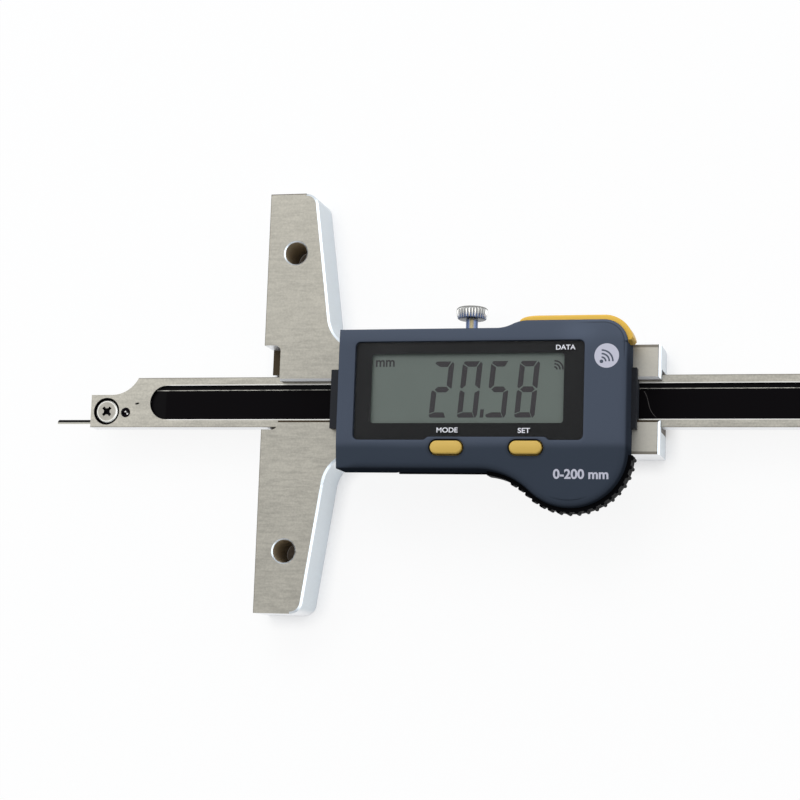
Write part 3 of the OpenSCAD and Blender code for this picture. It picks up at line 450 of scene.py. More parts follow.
def scale_tape():
    """Black scale tape with fine scratches along it and one curved hair line across."""
    b = material("scale_tape")
    film = b.noise(1, 3.0, (60, 2200, 800))
    scratch = b.ease(b.noise(1, 4.0, (90, 900, 300), 0.7), 0.7, 0.78)
    x, y, _ = b.place()
    run = (HAIR_TOP - y) / HAIR_FALL
    bend = ((5.547 * run - 7.059) * run + 4.348) * run + HAIR_X
    hair = b.ease(abs(x - bend), 0.10, 0.03) * (run > 0) * (run < 1)
    colour = b.mix(scratch * 0.2, tone(13, 11, 13), tone(46, 44, 44))
    return b.surface({
        "Base Color": b.mix(hair * 0.5, colour, tone(128, 124, 122)),
        "Roughness": 0.45 + 0.14 * film + 0.1 * scratch, "Specular IOR Level": 0.02,
        "Normal": b.bump(film, 0.05)})


def needle_finish():
    """Hardened pin with painted light: painted black above as shade, and a painted highlight along
    its lower side.
    """
    b = material("needle_steel")
    grain = b.noise(1, 3.0, (300, 2500, 2500))
    normal = b.normal()
    # Painted light: faces that do not face down are painted black as shade, and downward faces get
    # a bright painted highlight.
    dark = b.ease(normal[1], -0.42, -0.2)
    return b.surface({
        "Base Color": b.mix(dark, tone(206, 204, 192), b.tint(tone(20, 18, 18), 0.6 + 0.8 * grain)),
        "Metallic": 1 - 0.8 * dark, "Specular IOR Level": 0.1, "Roughness": 0.34 + 0.1 * grain})


def circuit_green():
    b = material("circuit_green")
    trace = b.ease(b.noise(1, 1.0, (900, 300, 10)), 0.5, 0.54)
    return b.surface({
        "Base Color": b.mix(trace, tone(16, 62, 38), tone(30, 92, 58)),
        "Roughness": 0.35 + 0.15 * trace, "Normal": b.bump(trace, 0.3, 0.00003)})


def new_object(name, data):
    obj = bpy.data.objects.new(name, data)
    bpy.context.scene.collection.objects.link(obj)
    return obj


def dress(finish, *nodes):
    """Gives CAD nodes their material."""
    for name in nodes:
        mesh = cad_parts[name].data
        mesh.materials.clear()
        mesh.materials.append(finish)


# --------------------------------------------------------------------------- geometry

(X0, _, _), (X1, _, TOP_Z) = in_mm(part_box("front_cover"))
FRONT_Z = in_mm(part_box("base_frame"))[1].z
LCD_Z = in_mm(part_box("lcd_panel"))[1].z + 0.015
HOUSE_TOP = 15.1
SHOULDER_TOP = 16.8
HOUSE_LOW = -17.0
CORNER = Vector((82.2, 11.3))
CORNER_R = 5.5
BULGE = Vector((74.7, -12.3))
BULGE_R = 13.0
BLEND_R = 17.0
SHOULDER_X = 57.8, 65.0
PANEL_X0, PANEL_X1, PANEL_Y0, PANEL_Y1 = 25.1, 78.1, -10.5, 12.1
PANEL_R = 1.2
NOTCH_RISE = 0.7
KEY_X = 47.0, 65.2
KEY_Y = -12.2
KEY_HALF, KEY_R = 3.7, 1.5
KEY_GAP = 0.32
CREASE_LOW = -10.8
CREASE_HIGH = 12.9
WALL = 1.6
BAND_X0, BAND_Y0 = 63.0, 12.1
BAND_PROUD = 1.2
BAND_BACK = 0.6
BAND_RECESS = 1.1
REST_Z = 17.1
VIEW = 28.9, -6.6, 73.45, 9.3
RECESS_X, RECESS_R = -29.3, 4.1
HOLE_X, HOLE_Y, HOLE_R = 6.8, 35.5, 2.7
KNOB_Y, KNOB_TOP = 19.68, 22.55
STEM_R = 1.4
SLOT_Y = 7.2
TAIL_X, TAIL_END, TAIL_SIDE = 86.6, 93.5, 12.0
NICK = -32.6, -0.25
LINE_GAP = 0.2
HAIR_X, HAIR_TOP, HAIR_FALL = 89.955, 2.248, 5.981
HIGHLIGHT_CENTRE = 76.8, 13.8
FLOOR_HALF, FLOOR_Z = 4000, -0.05


def front_height(y):
    """Height of the housing's front at y: level over the window, sloping beside it."""
    def drop(run, slope):
        return tan(slope) * (run + sqrt(run * run + 1)) / 2

    return (TOP_Z - drop(CREASE_LOW - y, sizes().low_slope)
            - drop(y - CREASE_HIGH, sizes().high_slope))


class Loop:
    """Closed outline of points, each with the direction in which it moves outwards."""

    def __init__(self):
        self.points = []
        self.outs = []

    def put(self, point, out):
        point = Vector(point)
        if self.points and (point - self.points[-1]).length < 1e-4:
            return
        self.points.append(point)
        self.outs.append(Vector(out))

    def line(self, start, end, out, step=1.0):
        start, end = Vector(start), Vector(end)
        count = max(1, ceil((end - start).length / step))
        for i in range(count + 1):
            self.put(start.lerp(end, i / count), out)

    def arc(self, centre, radius, a0, a1, hollow=False, step=0.45):
        count = max(4, ceil(abs(a1 - a0) * radius / step))
        for i in range(count + 1):
            a = a0 + (a1 - a0) * i / count
            out = Vector((cos(a), sin(a)))
            self.put(Vector(centre) + radius * out, -out if hollow else out)

    def rectangle(self, x0, y0, x1, y1, r, step):
        """Four round corners, from the lower right one on."""
        for cx, cy, turn in ((x1 - r, y0 + r, 3), (x1 - r, y1 - r, 0),
                             (x0 + r, y1 - r, 1), (x0 + r, y0 + r, 2)):
            self.arc((cx, cy), r, turn * pi / 2, (turn + 1) * pi / 2, step=step)

    def moved(self, d):
        """The outline moved outwards by d, one number or one for each point."""
        if not isinstance(d, list):
            d = [d] * len(self.points)
        return [p + o * m for p, o, m in zip(self.points, self.outs, d)]


def housing_loop():
    """Outline of the housing, anticlockwise from its lower left corner."""
    loop = Loop()
    fall = BULGE.y - HOUSE_LOW
    blend = Vector((BULGE.x - sqrt((BULGE_R + BLEND_R) ** 2 - (fall + BLEND_R) ** 2),
                    HOUSE_LOW - BLEND_R))
    joint = atan2(BULGE.y - blend.y, BULGE.x - blend.x)
    run, rise = SHOULDER_X[1] - SHOULDER_X[0], SHOULDER_TOP - HOUSE_TOP
    radius = (run * run + rise * rise) / (4 * rise)
    foot = Vector((SHOULDER_X[0], HOUSE_TOP + radius))
    head = Vector((SHOULDER_X[1], SHOULDER_TOP - radius))
    swing = atan2(foot.y - head.y, foot.x - head.x)
    loop.put((X0, HOUSE_LOW), (-1, -1))
    loop.line((X0 + 0.3, HOUSE_LOW), (blend.x, HOUSE_LOW), (0, -1))
    loop.arc(blend, BLEND_R, pi / 2, joint, True)
    loop.arc(BULGE, BULGE_R, joint + pi, 2 * pi)
    loop.line((X1, BULGE.y), (X1, CORNER.y), (1, 0), 0.5)
    loop.arc(CORNER, CORNER_R, 0, pi / 2, step=0.3)
    loop.line((CORNER.x, SHOULDER_TOP), (SHOULDER_X[1], SHOULDER_TOP), (0, 1), 0.5)
    loop.arc(head, radius, pi / 2, swing, step=0.25)
    loop.arc(foot, radius, swing + pi, 1.5 * pi, True, step=0.25)
    loop.line((SHOULDER_X[0], HOUSE_TOP), (X0 + 0.3, HOUSE_TOP), (0, 1))
    loop.put((X0, HOUSE_TOP), (-1, 1))
    loop.line((X0, HOUSE_TOP - 0.3), (X0, HOUSE_LOW + 0.3), (-1, 0))
    return loop


def panel_loop():
    """Outline of the window, with its raised stretch over the two keys."""
    loop = Loop()
    r = PANEL_R
    ends = KEY_X[0] - 5.4, KEY_X[0] - 4.1, KEY_X[1] + 4.1, KEY_X[1] + 5.4

    def ramp(xa, xb, up):
        for i in range(9):
            t = i / 8
            ease = t * t * (3 - 2 * t)
            lean = 6 * t * (1 - t) * NOTCH_RISE / (xb - xa) * up
            out = Vector((lean, -1)).normalized()
            y = PANEL_Y0 + NOTCH_RISE * (ease if up > 0 else 1 - ease)
            loop.put((xa + (xb - xa) * t, y), out)

    loop.line((PANEL_X0 + r, PANEL_Y0), (ends[0], PANEL_Y0), (0, -1))
    ramp(ends[0], ends[1], 1)
    loop.line((ends[1], PANEL_Y0 + NOTCH_RISE), (ends[2], PANEL_Y0 + NOTCH_RISE), (0, -1))
    ramp(ends[2], ends[3], -1)
    loop.line((ends[3], PANEL_Y0), (PANEL_X1 - r, PANEL_Y0), (0, -1))
    loop.rectangle(PANEL_X0, PANEL_Y0, PANEL_X1, PANEL_Y1, r, 0.2)
    loop.points.pop()
    loop.outs.pop()
    return loop


def box_loop(x0, y0, x1, y1, r):
    """Rectangle with round corners."""
    loop = Loop()
    loop.rectangle(x0, y0, x1, y1, r, 0.15)
    return loop


def oval_loop(cx, cy, half, r):
    """Oval of two half circles."""
    loop = Loop()
    loop.arc((cx + half - r, cy), r, -pi / 2, pi / 2, step=0.18)
    loop.arc((cx - half + r, cy), r, pi / 2, 1.5 * pi, step=0.18)
    return loop


class Form:
    """Mesh under construction, in millimetres."""

    def __init__(self):
        self.verts = []
        self.faces = []

    def ring(self, points, heights):
        start = len(self.verts)
        if not isinstance(heights, list):
            heights = [heights] * len(points)
        self.verts += [(p.x, p.y, z) for p, z in zip(points, heights)]
        return list(range(start, start + len(points)))

    def join(self, a, b, closed=True):
        count = len(a)
        for i in range(count if closed else count - 1):
            j = (i + 1) % count
            self.faces.append((a[i], a[j], b[j], b[i]))

    def skin(self, rings, closed=True):
        for a, b in zip(rings, rings[1:]):
            self.join(a, b, closed)

    def fill(self, ring):
        self.faces.append(tuple(ring))

    def solid(self, rings):
        """A skin that is closed at both ends."""
        self.skin(rings)
        self.fill(rings[0])
        self.fill(rings[-1])

    def sheet(self, outer, holes, height, step=1.0):
        """Fills a flat area between an outer loop and holes; height gives z at a point."""
        points = [Vector((p.x, p.y)) for p in outer]
        edges = [(i, (i + 1) % len(outer)) for i in range(len(outer))]
        for hole in holes:
            start = len(points)
            points += [Vector((p.x, p.y)) for p in hole]
            edges += [(start + i, start + (i + 1) % len(hole)) for i in range(len(hole))]
        low = Vector((min(p.x for p in outer), min(p.y for p in outer)))
        high = Vector((max(p.x for p in outer), max(p.y for p in outer)))
        loops = [outer] + holes
        y = low.y + step / 2
        while y < high.y:
            x = low.x + step / 2
            while x < high.x:
                p = Vector((x, y))
                if inside(p, outer) and not any(inside(p, h) for h in holes):
                    if all(clear_of(p, loop, step * 0.4) for loop in loops):
                        points.append(p)
                x += step
            y += step
        out, _, tris, _, _, _ = delaunay_2d_cdt(points, edges, [], 1, 1e-5)
        start = len(self.verts)
        self.verts += [(p.x, p.y, height(p)) for p in out]
        for tri in tris:
            mid = sum((out[i] for i in tri), Vector((0, 0))) / len(tri)
            if inside(mid, outer) and not any(inside(mid, h) for h in holes):
                self.faces.append(tuple(start + i for i in tri))

    def shown(self, name, finish):
        """Turns the form into a named object."""
        mesh = bpy.data.meshes.new(name)
        mesh.from_pydata([tuple(c * MM for c in v) for v in self.verts], [], self.faces)
        mesh.materials.append(finish)
        return new_object(name, mesh)

    def piece(self, name, finish, body, angle=32):
        """Turns the form into a smooth object that rides on a body."""
        obj = self.shown(name, finish)
        mesh = obj.data
        work = bmesh.new()
        work.from_mesh(mesh)
        bmesh.ops.remove_doubles(work, verts=work.verts, dist=2e-7)
        bmesh.ops.dissolve_degenerate(work, edges=work.edges, dist=1e-7)
        bmesh.ops.recalc_face_normals(work, faces=work.faces)
        work.to_mesh(mesh)
        work.free()
        mesh.polygons.foreach_set("use_smooth", [True] * len(mesh.polygons))
        mesh.set_sharp_from_angle(angle=radians(angle))
        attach(obj, body)
        return obj


def inside(p, loop):
    """Whether a point lies inside a closed loop."""
    hit = False
    x, y = p.x, p.y
    q = loop[-1]
    for r in loop:
        if (r.y > y) != (q.y > y) and x < (q.x - r.x) * (y - r.y) / (q.y - r.y) + r.x:
            hit = not hit
        q = r
    return hit


def clear_of(p, loop, gap):
    return all(abs(q.x - p.x) > gap or abs(q.y - p.y) > gap for q in loop)


def ease(value, low, high):
    t = min(1, max(0, (value - low) / (high - low)))
    return t * t * (3 - 2 * t)


def round_rings(form, loop, wide, deep, height, steps=6):
    """Rings of a rounded edge, from the level front to the upright wall below it."""
    rings = []
    for k in range(steps + 1):
        a = pi / 2 * (1 - k / steps)
        points = loop.moved([-w * (1 - cos(a)) for w in wide])
        levels = [height(p) - d * (1 - sin(a)) for p, d in zip(points, deep)]
        rings.append(form.ring(points, levels))
    return rings


# -------------------------------------------------------------------------- operators

class Step(bpy.types.Operator):
    """One step of the gauge's looks"""

    bl_options = {"REGISTER", "UNDO"}

    def execute(self, context):
        self.make()
        return {"FINISHED"}


class GAUGE_OT_steelwork(Step):
    """Finishes of the base, the slider, the rod and their small parts"""

    bl_idname = "depth_gauge.steelwork"
    bl_label = "Steelwork"

    def make(self):
        face = in_mm(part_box("beam"))[1].z
        head, screw = sum(in_mm(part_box("needle_clamp_screw")), Vector()) / 2, 3.35
        frame_high, rod_high = in_mm(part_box("base_frame"))[1], in_mm(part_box("beam"))[1]
        tape_top = in_mm(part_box("scale_strip"))[1].y

        def slot_distance(b, x, y):
            return b.length(b.larger(RECESS_X + RECESS_R - x, 0.0), y) - RECESS_R

        # The scale recess's floor is black; the ring round the clamp screw's head is painted black
        # as shade in its gap.
        def recesses(b, x, y, z, normal):
            ring = b.ease(b.length(x - head.x, y - head.y), screw + 0.08, screw)
            found = ring + b.ease(slot_distance(b, x, y), 0.3, 0.2)
            return b.ease(z, face - 0.12, face - 0.22) * found * (z > face - 1.9)

        # Painted highlight: a bright rim round the left end of the scale recess.
        def painted_rim_highlight(b, x, y, z, normal):
            rim = b.ease(slot_distance(b, x, y), 0.24, 0.14)
            return rim * b.ease(z, face - 0.2, face - 0.1) * b.ease(x, -26.2, -23.5)

        # Painted shade: thin dark lines along the rod's upper and lower edges.
        def painted_edge_shade(b, x, y, z, normal):
            edge = b.ease(abs(y), rod_high.y - 0.22, rod_high.y - 0.08)
            return edge * (z > face - 0.1) * 0.55

        def nick(b, x, y, z, normal):
            away = b.length((x - NICK[0]) * 0.5 - (y - NICK[1]) * 0.4, y - NICK[1])
            return b.ease(away, 0.32, 0.18) * (z > face - 0.1)

        def tape_line(b, x, y, z, normal):
            """Bright line in the recess, along the upper side of the tape."""
            worn = b.ease(b.noise(1, 3.0, (700, 60, 60)), 0.28, 0.6, 0.35, 1.0)
            line = b.ease(abs(y - (tape_top + LINE_GAP)), 0.12, 0.06)
            return line * worn * (z < face - 0.4) * b.ease(normal[2], 0.7, 0.9)

        def painted_shade_places(b, x, y, z, normal):
            """Painted shade in dark brown: the shelf in the notch and the walls of the slot, and
            thin painted dark lines along the upper end, the left outline and round the tail's face.
            """
            shelf = b.ease(z, 9.0, 8.0) * (x < 4.1) * (x > -0.1) * b.ease(normal[2], 0.5, 0.8)
            front = z > frame_high.z - 0.4
            top = b.ease(y, frame_high.y - 0.22, frame_high.y - 0.08) * front
            left = b.ease(x, 0.22, 0.08) * 0.5 * front
            slot = b.ease(abs(y), SLOT_Y, SLOT_Y - 0.1) * (x > 0.1)
            lower = b.ease(normal[1], 0.25, 0.6)
            upper = b.ease(normal[1], -0.3, -0.6) * b.ease(z, 10.5, 10.2)
            tail = x > TAIL_X
            end = b.ease(normal[0], 0.5, 0.8) * tail * b.ease(z, 9.8, 9.4)
            plate = tail * b.ease(normal[2], 0.9, 0.97)
            rim = b.ease(x, TAIL_END - 0.2, TAIL_END - 0.08)
            rim = rim + b.ease(abs(y), TAIL_SIDE - 0.2, TAIL_SIDE - 0.08)
            found = shelf + top + left + slot * (lower + upper + end) + plate * rim * 0.6
            return b.math("MINIMUM", found, 1.0)

        def bores(b, x, y, z, normal):
            away = b.length(x - HOLE_X, abs(y) - HOLE_Y)
            return b.ease(away, HOLE_R + 0.1, HOLE_R) * (z < frame_high.z - 0.3)

        # Painted highlight: downward faces of the lips above the slot are painted near white.
        def painted_lip_highlight(b, x, y, z, normal):
            return b.ease(normal[1], -0.3, -0.6) * b.ease(z, 10.5, 10.8) * (abs(y) < 12)

        # Painted light: the tail's upward faces are painted paler, lifting the shade that the
        # housing casts on them.
        def painted_tail_lift(b, x, y, z, normal):
            return (x > TAIL_X) * b.ease(normal[2], 0.9, 0.97) * 0.55

        # Dark brown of the painted shade and the painted dark lines.
        brown = tone(70, 60, 46)
        dress(ground_steel("base_steel", (260, 1900, 700), (painted_tail_lift, tone(214, 210, 199), 0.0),
                           (painted_lip_highlight, tone(240, 240, 240), 0.6), (painted_shade_places, brown, 0.6),
                           (bores, tone(180, 166, 142), 0.9)),
              "base_frame", "back_plate")
        dress(ground_steel("rod_steel", (160, 1500, 900), (painted_rim_highlight, tone(238, 236, 230), 0.0),
                           (recesses, tone(5, 3, 5), 0.98), (painted_edge_shade, tone(60, 52, 42), 0.5),
                           (nick, tone(20, 17, 16), 0.9), (tape_line, tone(226, 223, 212), 0.0),
                           spread=0.16, light=1.1), "beam")
        dress(ground_steel("stop_steel", (500, 500, 500)), "end_stop")
        dress(scale_tape(), "scale_strip")
        dress(needle_finish(), "needle")
        # The clamp screw's rim gets a painted highlight, and its cross recess is painted near black
        # as shade.
        dress(slotted_metal("clamp_screw_steel", tone(176, 172, 162), tone(10, 6, 12),
                            "needle_clamp_screw", 0.3, 0.9), "needle_clamp_screw")
        # The grub screw gets a bright painted glint line across its slot.
        dress(slotted_metal("grub_steel", tone(20, 15, 20), tone(12, 9, 12), "grub_screw", 0.4, 0.0,
                            tone(232, 230, 226)), "grub_screw")
        self.knob()
        dress(bright_metal("screw_black", tone(52, 52, 55), 0.4), "back_plate_screws",
              "end_stop_screw", "cover_screws", "hatch_screw")
        dress(bright_metal("brass", tone(196, 160, 92), 0.32), "gib_spring", "clamp_pad")

    def knob(self):
        """The lock screw with its fluted head, turned about an axis along y."""
        low, high = in_mm(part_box("lock_screw"))
        centre = Vector(((low.x + high.x) / 2, (low.z + high.z) / 2))
        per, count = 8, sizes().flute_count
        form = Form()
        rings = []
        profile = (
            (KNOB_TOP, 0.02, 0), (KNOB_TOP, 2.9, 0), (KNOB_TOP - 0.12, 3.3, 0.1),
            (KNOB_TOP - 0.4, 3.62, 0.26), (KNOB_TOP - 0.9, 3.78, 0.3), (KNOB_TOP - 1.8, 3.6, 0.3),
            (KNOB_Y + 0.35, 3.44, 0.26), (KNOB_Y + 0.12, 3.3, 0.12), (KNOB_Y, 3.1, 0),
            (KNOB_Y, STEM_R, 0), (low.y + 0.3, STEM_R, 0), (low.y, STEM_R - 0.3, 0),
            (low.y, 0.02, 0))
        for y, radius, depth in profile:
            ring = []
            for k in range(count * per):
                a = 2 * pi * k / (count * per)
                r = radius - depth * abs(cos(a * count / 2)) ** 1.5
                ring.append(len(form.verts))
                form.verts.append((centre.x + r * cos(a), y, centre.y + r * sin(a)))
            rings.append(ring)
        form.solid(rings)
        knob = form.piece("lock_knob", knurled_metal(), "lock_screw", 40)
        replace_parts(knob, "lock_screw")


class GAUGE_OT_housing(Step):
    """Front of the housing with its rounded edges, and the black shell and seals"""

    bl_idname = "depth_gauge.housing"
    bl_label = "Housing"

    def make(self):
        s = sizes()
        loop = housing_loop()
        form = Form()

        def in_band(p):
            upper = p.x > BAND_X0 - 0.4 and p.y > HOUSE_TOP - 0.5
            return upper or p.x > X1 - CORNER_R and p.y > BAND_Y0 - 0.5

        def height(p):
            return front_height(p.y)

        wide, deep, walls = [], [], []
        for p in loop.points:
            big = max(ease(p.x, 78, 87), ease(p.y, -13, -17) * ease(p.x, 21.5, 27))
            r = (s.edge_small + (s.edge_round - s.edge_small) * big) / MM
            wide.append(r)
            deep.append(min(r, 0.45) if in_band(p) else r)
            rest = p.x > 55.6 and p.y < -13.2
            lip = 34.0 < p.x < 56.9 and p.y < -15
            foot = REST_Z if rest else FRONT_Z + 0.9 if lip else FRONT_Z
            walls.append((BAND_RECESS if in_band(p) else 0, foot))
        rings = round_rings(form, loop, wide, deep, height)
        edge = [form.verts[i][2] for i in rings[-1]]
        flat = loop.moved(0)
        back = loop.moved([-rec for rec, _ in walls])
        top = [min(e - 0.02, 20.5) for e in edge]
        base = [max(foot + 0.02, FRONT_Z + 0.9) for _, foot in walls]
        feet = [foot for _, foot in walls]
        rings += [form.ring(flat, top), form.ring(back, top), form.ring(back, base),
                  form.ring(flat, base), form.ring(flat, feet),
                  form.ring(loop.moved(-WALL), feet),
                  form.ring(loop.moved(-WALL), [f + 2.5 for f in feet])]
        form.skin(rings)

        def opening(edge, lips, *below):
            """The sides of an opening in the front. Returns its outline on the front."""
            sides = []
            for grow, fall in lips:
                points = edge.moved(grow)
                sides.append(form.ring(points, [height(p) - fall for p in points]))
            form.skin(sides + [form.ring(edge.moved(grow), z) for grow, z in below])
            return edge.moved(lips[0][0])

        floor = TOP_Z - 1.1
        holes = [opening(panel_loop(), ((0.14, 0), (0.05, 0.04), (0, 0.13)),
                         (0, floor), (-1.2, floor))]
        for x in KEY_X:
            oval = oval_loop(x, KEY_Y, KEY_HALF + KEY_GAP, KEY_R + KEY_GAP)
            holes.append(opening(oval, ((0.16, 0), (0.06, 0.04), (0, 0.14)), (0, TOP_Z - 2.4)))
        form.sheet(loop.moved([-w for w in wide]), holes, height)
        front = form.piece("housing_front", housing_plastic(), "frame")
        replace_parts(front, "front_cover")

        dress(moulded("shell_plastic", dye("shell"), 0.5, gloss=0.02),
              "rear_shell", "battery_hatch")
        dress(moulded("seal_rubber", tone(27, 30, 36), 0.62, 1800, 0.35), "left_wiper",
              "right_wiper", "housing_gasket")


class GAUGE_OT_keys(Step):
    """The two oval keys and the band key round the corner"""

    bl_idname = "depth_gauge.keys"
    bl_label = "Keys"

    def make(self):
        yellow = moulded("key_yellow", dye("keys"), 0.4, 1500, 0.12, 0.05)
        for name, node, x in (("mode_key_cap", "mode_button", KEY_X[0]),
                              ("set_key_cap", "set_button", KEY_X[1])):
            low, high = in_mm(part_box(node))
            oval = oval_loop(x, KEY_Y, KEY_HALF, KEY_R)
            r = sizes().key_round / MM
            top = high.z
            form = Form()
            rings = [form.ring(oval.moved(-KEY_R + 0.01), top)]
            for k in range(1, 4):
                inset = KEY_R - (KEY_R - r) * k / 3
                rings.append(form.ring(oval.moved(-inset), top - 0.1 * (k / 3) ** 2))
            for k in range(1, 8):
                a = pi / 2 * (1 - k / 7)
                rings.append(form.ring(oval.moved(-r * (1 - cos(a))), top - 0.1 - r * (1 - sin(a))))
            for grow, rise in ((0, 1.5), (0.5, 1.5), (0.5, 1.0), (-1.2, 1.0), (-1.2, 0)):
                rings.append(form.ring(oval.moved(grow), low.z + rise))
            form.solid(rings)
            cap = form.piece(name, yellow, node)
            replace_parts(cap, node)
        self.band()

    def band(self):
        """A band of even depth that thins to a point at its left end."""
        low, high = in_mm(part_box("data_key"))
        loop = housing_loop()
        rail = [(p, o) for p, o in zip(loop.points, loop.outs)
                if p.y > HOUSE_TOP + 0.3 and p.x > BAND_X0 or p.x > X1 - CORNER_R and p.y > BAND_Y0]
        rail.sort(key=lambda item: atan2(item[0].y, item[0].x - 60))
        start = rail[0][0]
        form = Form()
        rings = []
        for p, o in rail:
            nose = sqrt(max(0.0, 1 - (1 - min(1, (p.x - BAND_X0) / 4.2)) ** 2))
            tail = sqrt(max(0.0, 1 - (1 - min(1, (p - start).length / 0.5)) ** 2)) * 0.4 + 0.6
            proud = 0.05 + (BAND_PROUD - 0.05) * nose * tail
            r = min(0.4, proud * 0.45)
            side = proud - r
            section = [(-BAND_BACK, low.z), (side, low.z)]
            for a in (0.4, 0.8, 1.2, pi / 2):
                section.append((side + r * sin(a), low.z + r - r * cos(a)))
            for a in (0, 0.4, 0.8, 1.2):
                section.append((side + r * cos(a), high.z - r + r * sin(a)))
            section += [(side, high.z), (-BAND_BACK, high.z)]
            first = len(form.verts)
            form.verts += [(p.x + o.x * d, p.y + o.y * d, z) for d, z in section]
            rings.append(list(range(first, first + len(section))))
        form.solid(rings)
        yellow = moulded("band_yellow", dye("band"), 0.36, 1500, 0.1, 0.05)
        data = form.piece("data_key_band", yellow, "data_key", 40)
        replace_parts(data, "data_key")


class GAUGE_OT_display(Step):
    """Window, black print, display with its digits, and the labels"""

    bl_idname = "depth_gauge.display"
    bl_label = "Display"

    def make(self):
        panel = panel_loop()
        (_, _, bottom), (_, _, top) = in_mm(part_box("display_window"))
        pane = Form()
        edges = [pane.ring(panel.moved(grow), z) for grow, z in (
            (-0.22, top), (-0.14, top - 0.03), (-0.1, top - 0.12), (-0.1, bottom + 0.01))]
        pane.solid(edges)
        clear = glass("window_clear", tone(28, 30, 32), 0.07, 0.08)
        window = pane.piece("window_pane", clear, "frame")
        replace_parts(window, "display_window")

        mask_low = in_mm(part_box("display_mask"))[0].z
        view = box_loop(*VIEW, 0.7)
        mask = Form()
        outer = panel.moved(-0.1)
        inner = view.moved(0)
        for z in (bottom - 0.01, mask_low):
            mask.sheet(outer, [inner], lambda p, z=z: z, 4.0)
        for edge in (inner, outer):
            mask.skin([mask.ring(edge, bottom - 0.01), mask.ring(edge, mask_low)])
        black = moulded("panel_black", dye("panel"), 0.3, 900, 0.02, 0.04)
        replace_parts(mask.piece("window_print", black, "frame"), "display_mask")

        b = material("display_ground")
        haze = b.noise(120, 3.0)
        dress(b.surface({
            "Base Color": b.tint(dye("display"), 0.985 + 0.03 * haze),
            "Roughness": 0.42 + 0.08 * haze, "Specular IOR Level": 0.3}), "lcd_panel")
        ink = moulded("display_ink", dye("digits"), 0.5, 900, 0.02, 0.05)
        pale = moulded("print_pale", dye("print"), 0.55, 1500, 0.05, 0.05)
        white = moulded("print_white", tone(232, 232, 238), 0.5, 1500, 0.05, 0.04)
        self.digits(ink)
        self.write("unit_sign", "mm", (29.65, 6.5, 34.1, 8.1), ink, LCD_Z, 0.02)
        self.waves("radio_sign", Vector((71.1, 5.6)), (0.6, 1.3, 2.0), 0.36, LCD_Z, ink)
        self.write("label_mode", "MODE", (44.75, -8.88, 49.65, -7.72), white, top + 0.02, 0.015)
        self.write("label_set", "SET", (63.4, -8.98, 66.2, -7.82), white, top + 0.02, 0.015)
        self.write("label_data", "DATA", (71.65, 9.85, 76.05, 10.97), white, top + 0.02, 0.015)
        self.write("range_print", "0-200 mm", (71.4, -19.1, 83.8, -16.9), pale, None, 0.03)
        badge = Form()
        centre = Vector((83.1, 8.4))
        ring = box_loop(centre.x - 2.75, centre.y - 2.75, centre.x + 2.75, centre.y + 2.75, 2.74)
        badge.fill(badge.ring(ring.moved(0), TOP_Z + 0.012))
        badge.piece("badge_spot", pale, "frame")
        grey = moulded("badge_grey", dye("housing"), 0.5, 1500, 0.05, 0.05)
        self.waves("badge_waves", centre + Vector((-1.15, -1.3)), (0.95, 1.75, 2.55), 0.36,
                   TOP_Z + 0.024, grey, 0.42)

    def digits(self, ink):
        """Four digits of seven bars each, leaning to the right."""
        bars = {
            "a": [(0.21, 12.4), (0.52, 12.85), (3.9, 12.85), (3.22, 11.58), (1.43, 11.58)],
            "b": [(4.2, 12.75), (4.62, 12.3), (4.62, 6.75), (4.45, 6.6), (3.39, 7.4), (3.39, 11.5)],
            "c": [(4.45, 6.2), (4.62, 5.95), (4.62, 0.7), (4.25, 0), (4.05, 0), (3.48, 1.2),
                  (3.48, 5.65)],
            "d": [(0.02, 0.72), (1.25, 1.2), (3.35, 1.2), (3.9, 0), (0.4, 0), (0, 0.35)],
            "e": [(0.3, 6.25), (1.2, 5.7), (1.2, 1.38), (0, 0.95), (0, 5.9)],
            "f": [(0.05, 12.2), (1.25, 11.45), (1.25, 7.35), (0.45, 6.6), (0.03, 6.9)],
            "g": [(0.72, 6.4), (1.42, 7.05), (3.45, 7.05), (4.05, 6.4), (3.45, 5.75), (1.42, 5.75)],
            "dot": [(0, 0), (0.82, 0), (0.82, 1.88), (0, 1.88)],
        }
        grow = sizes().digit_height / MM / 12.95
        lean = tan(sizes().digit_lean)
        base = -5.27
        for name, start, lit in (("digit_2", 42.43, "abged"), ("digit_0", 49.01, "abcdef"),
                                 ("decimal_point", 54.28, ("dot",)), ("digit_5", 55.58, "afgcd"),
                                 ("digit_8", 62.18, "abcdefg")):
            form = Form()
            for bar in lit:
                points = [Vector((start + grow * (x + y * lean), base + grow * y))
                          for x, y in bars[bar]]
                form.fill(form.ring(points, LCD_Z))
            form.piece(name, ink, "frame")

    def waves(self, name, centre, radii, width, z, finish, dot=0.0):
        """Quarter arcs, as for a radio signal."""
        form = Form()
        for r in radii:
            rings = [[], []]
            for k in range(13):
                a = pi / 2 * k / 12
                for ring, d in zip(rings, (-width / 2, width / 2)):
                    ring.append(centre + (r + d) * Vector((cos(a), sin(a))))
            form.skin([form.ring(rings[0], z), form.ring(rings[1], z)], closed=False)
        if dot:
            angles = [pi / 8 * k for k in range(16)]
            form.fill(form.ring([centre + dot * Vector((cos(a), sin(a))) for a in angles], z))
        form.piece(name, finish, "frame")

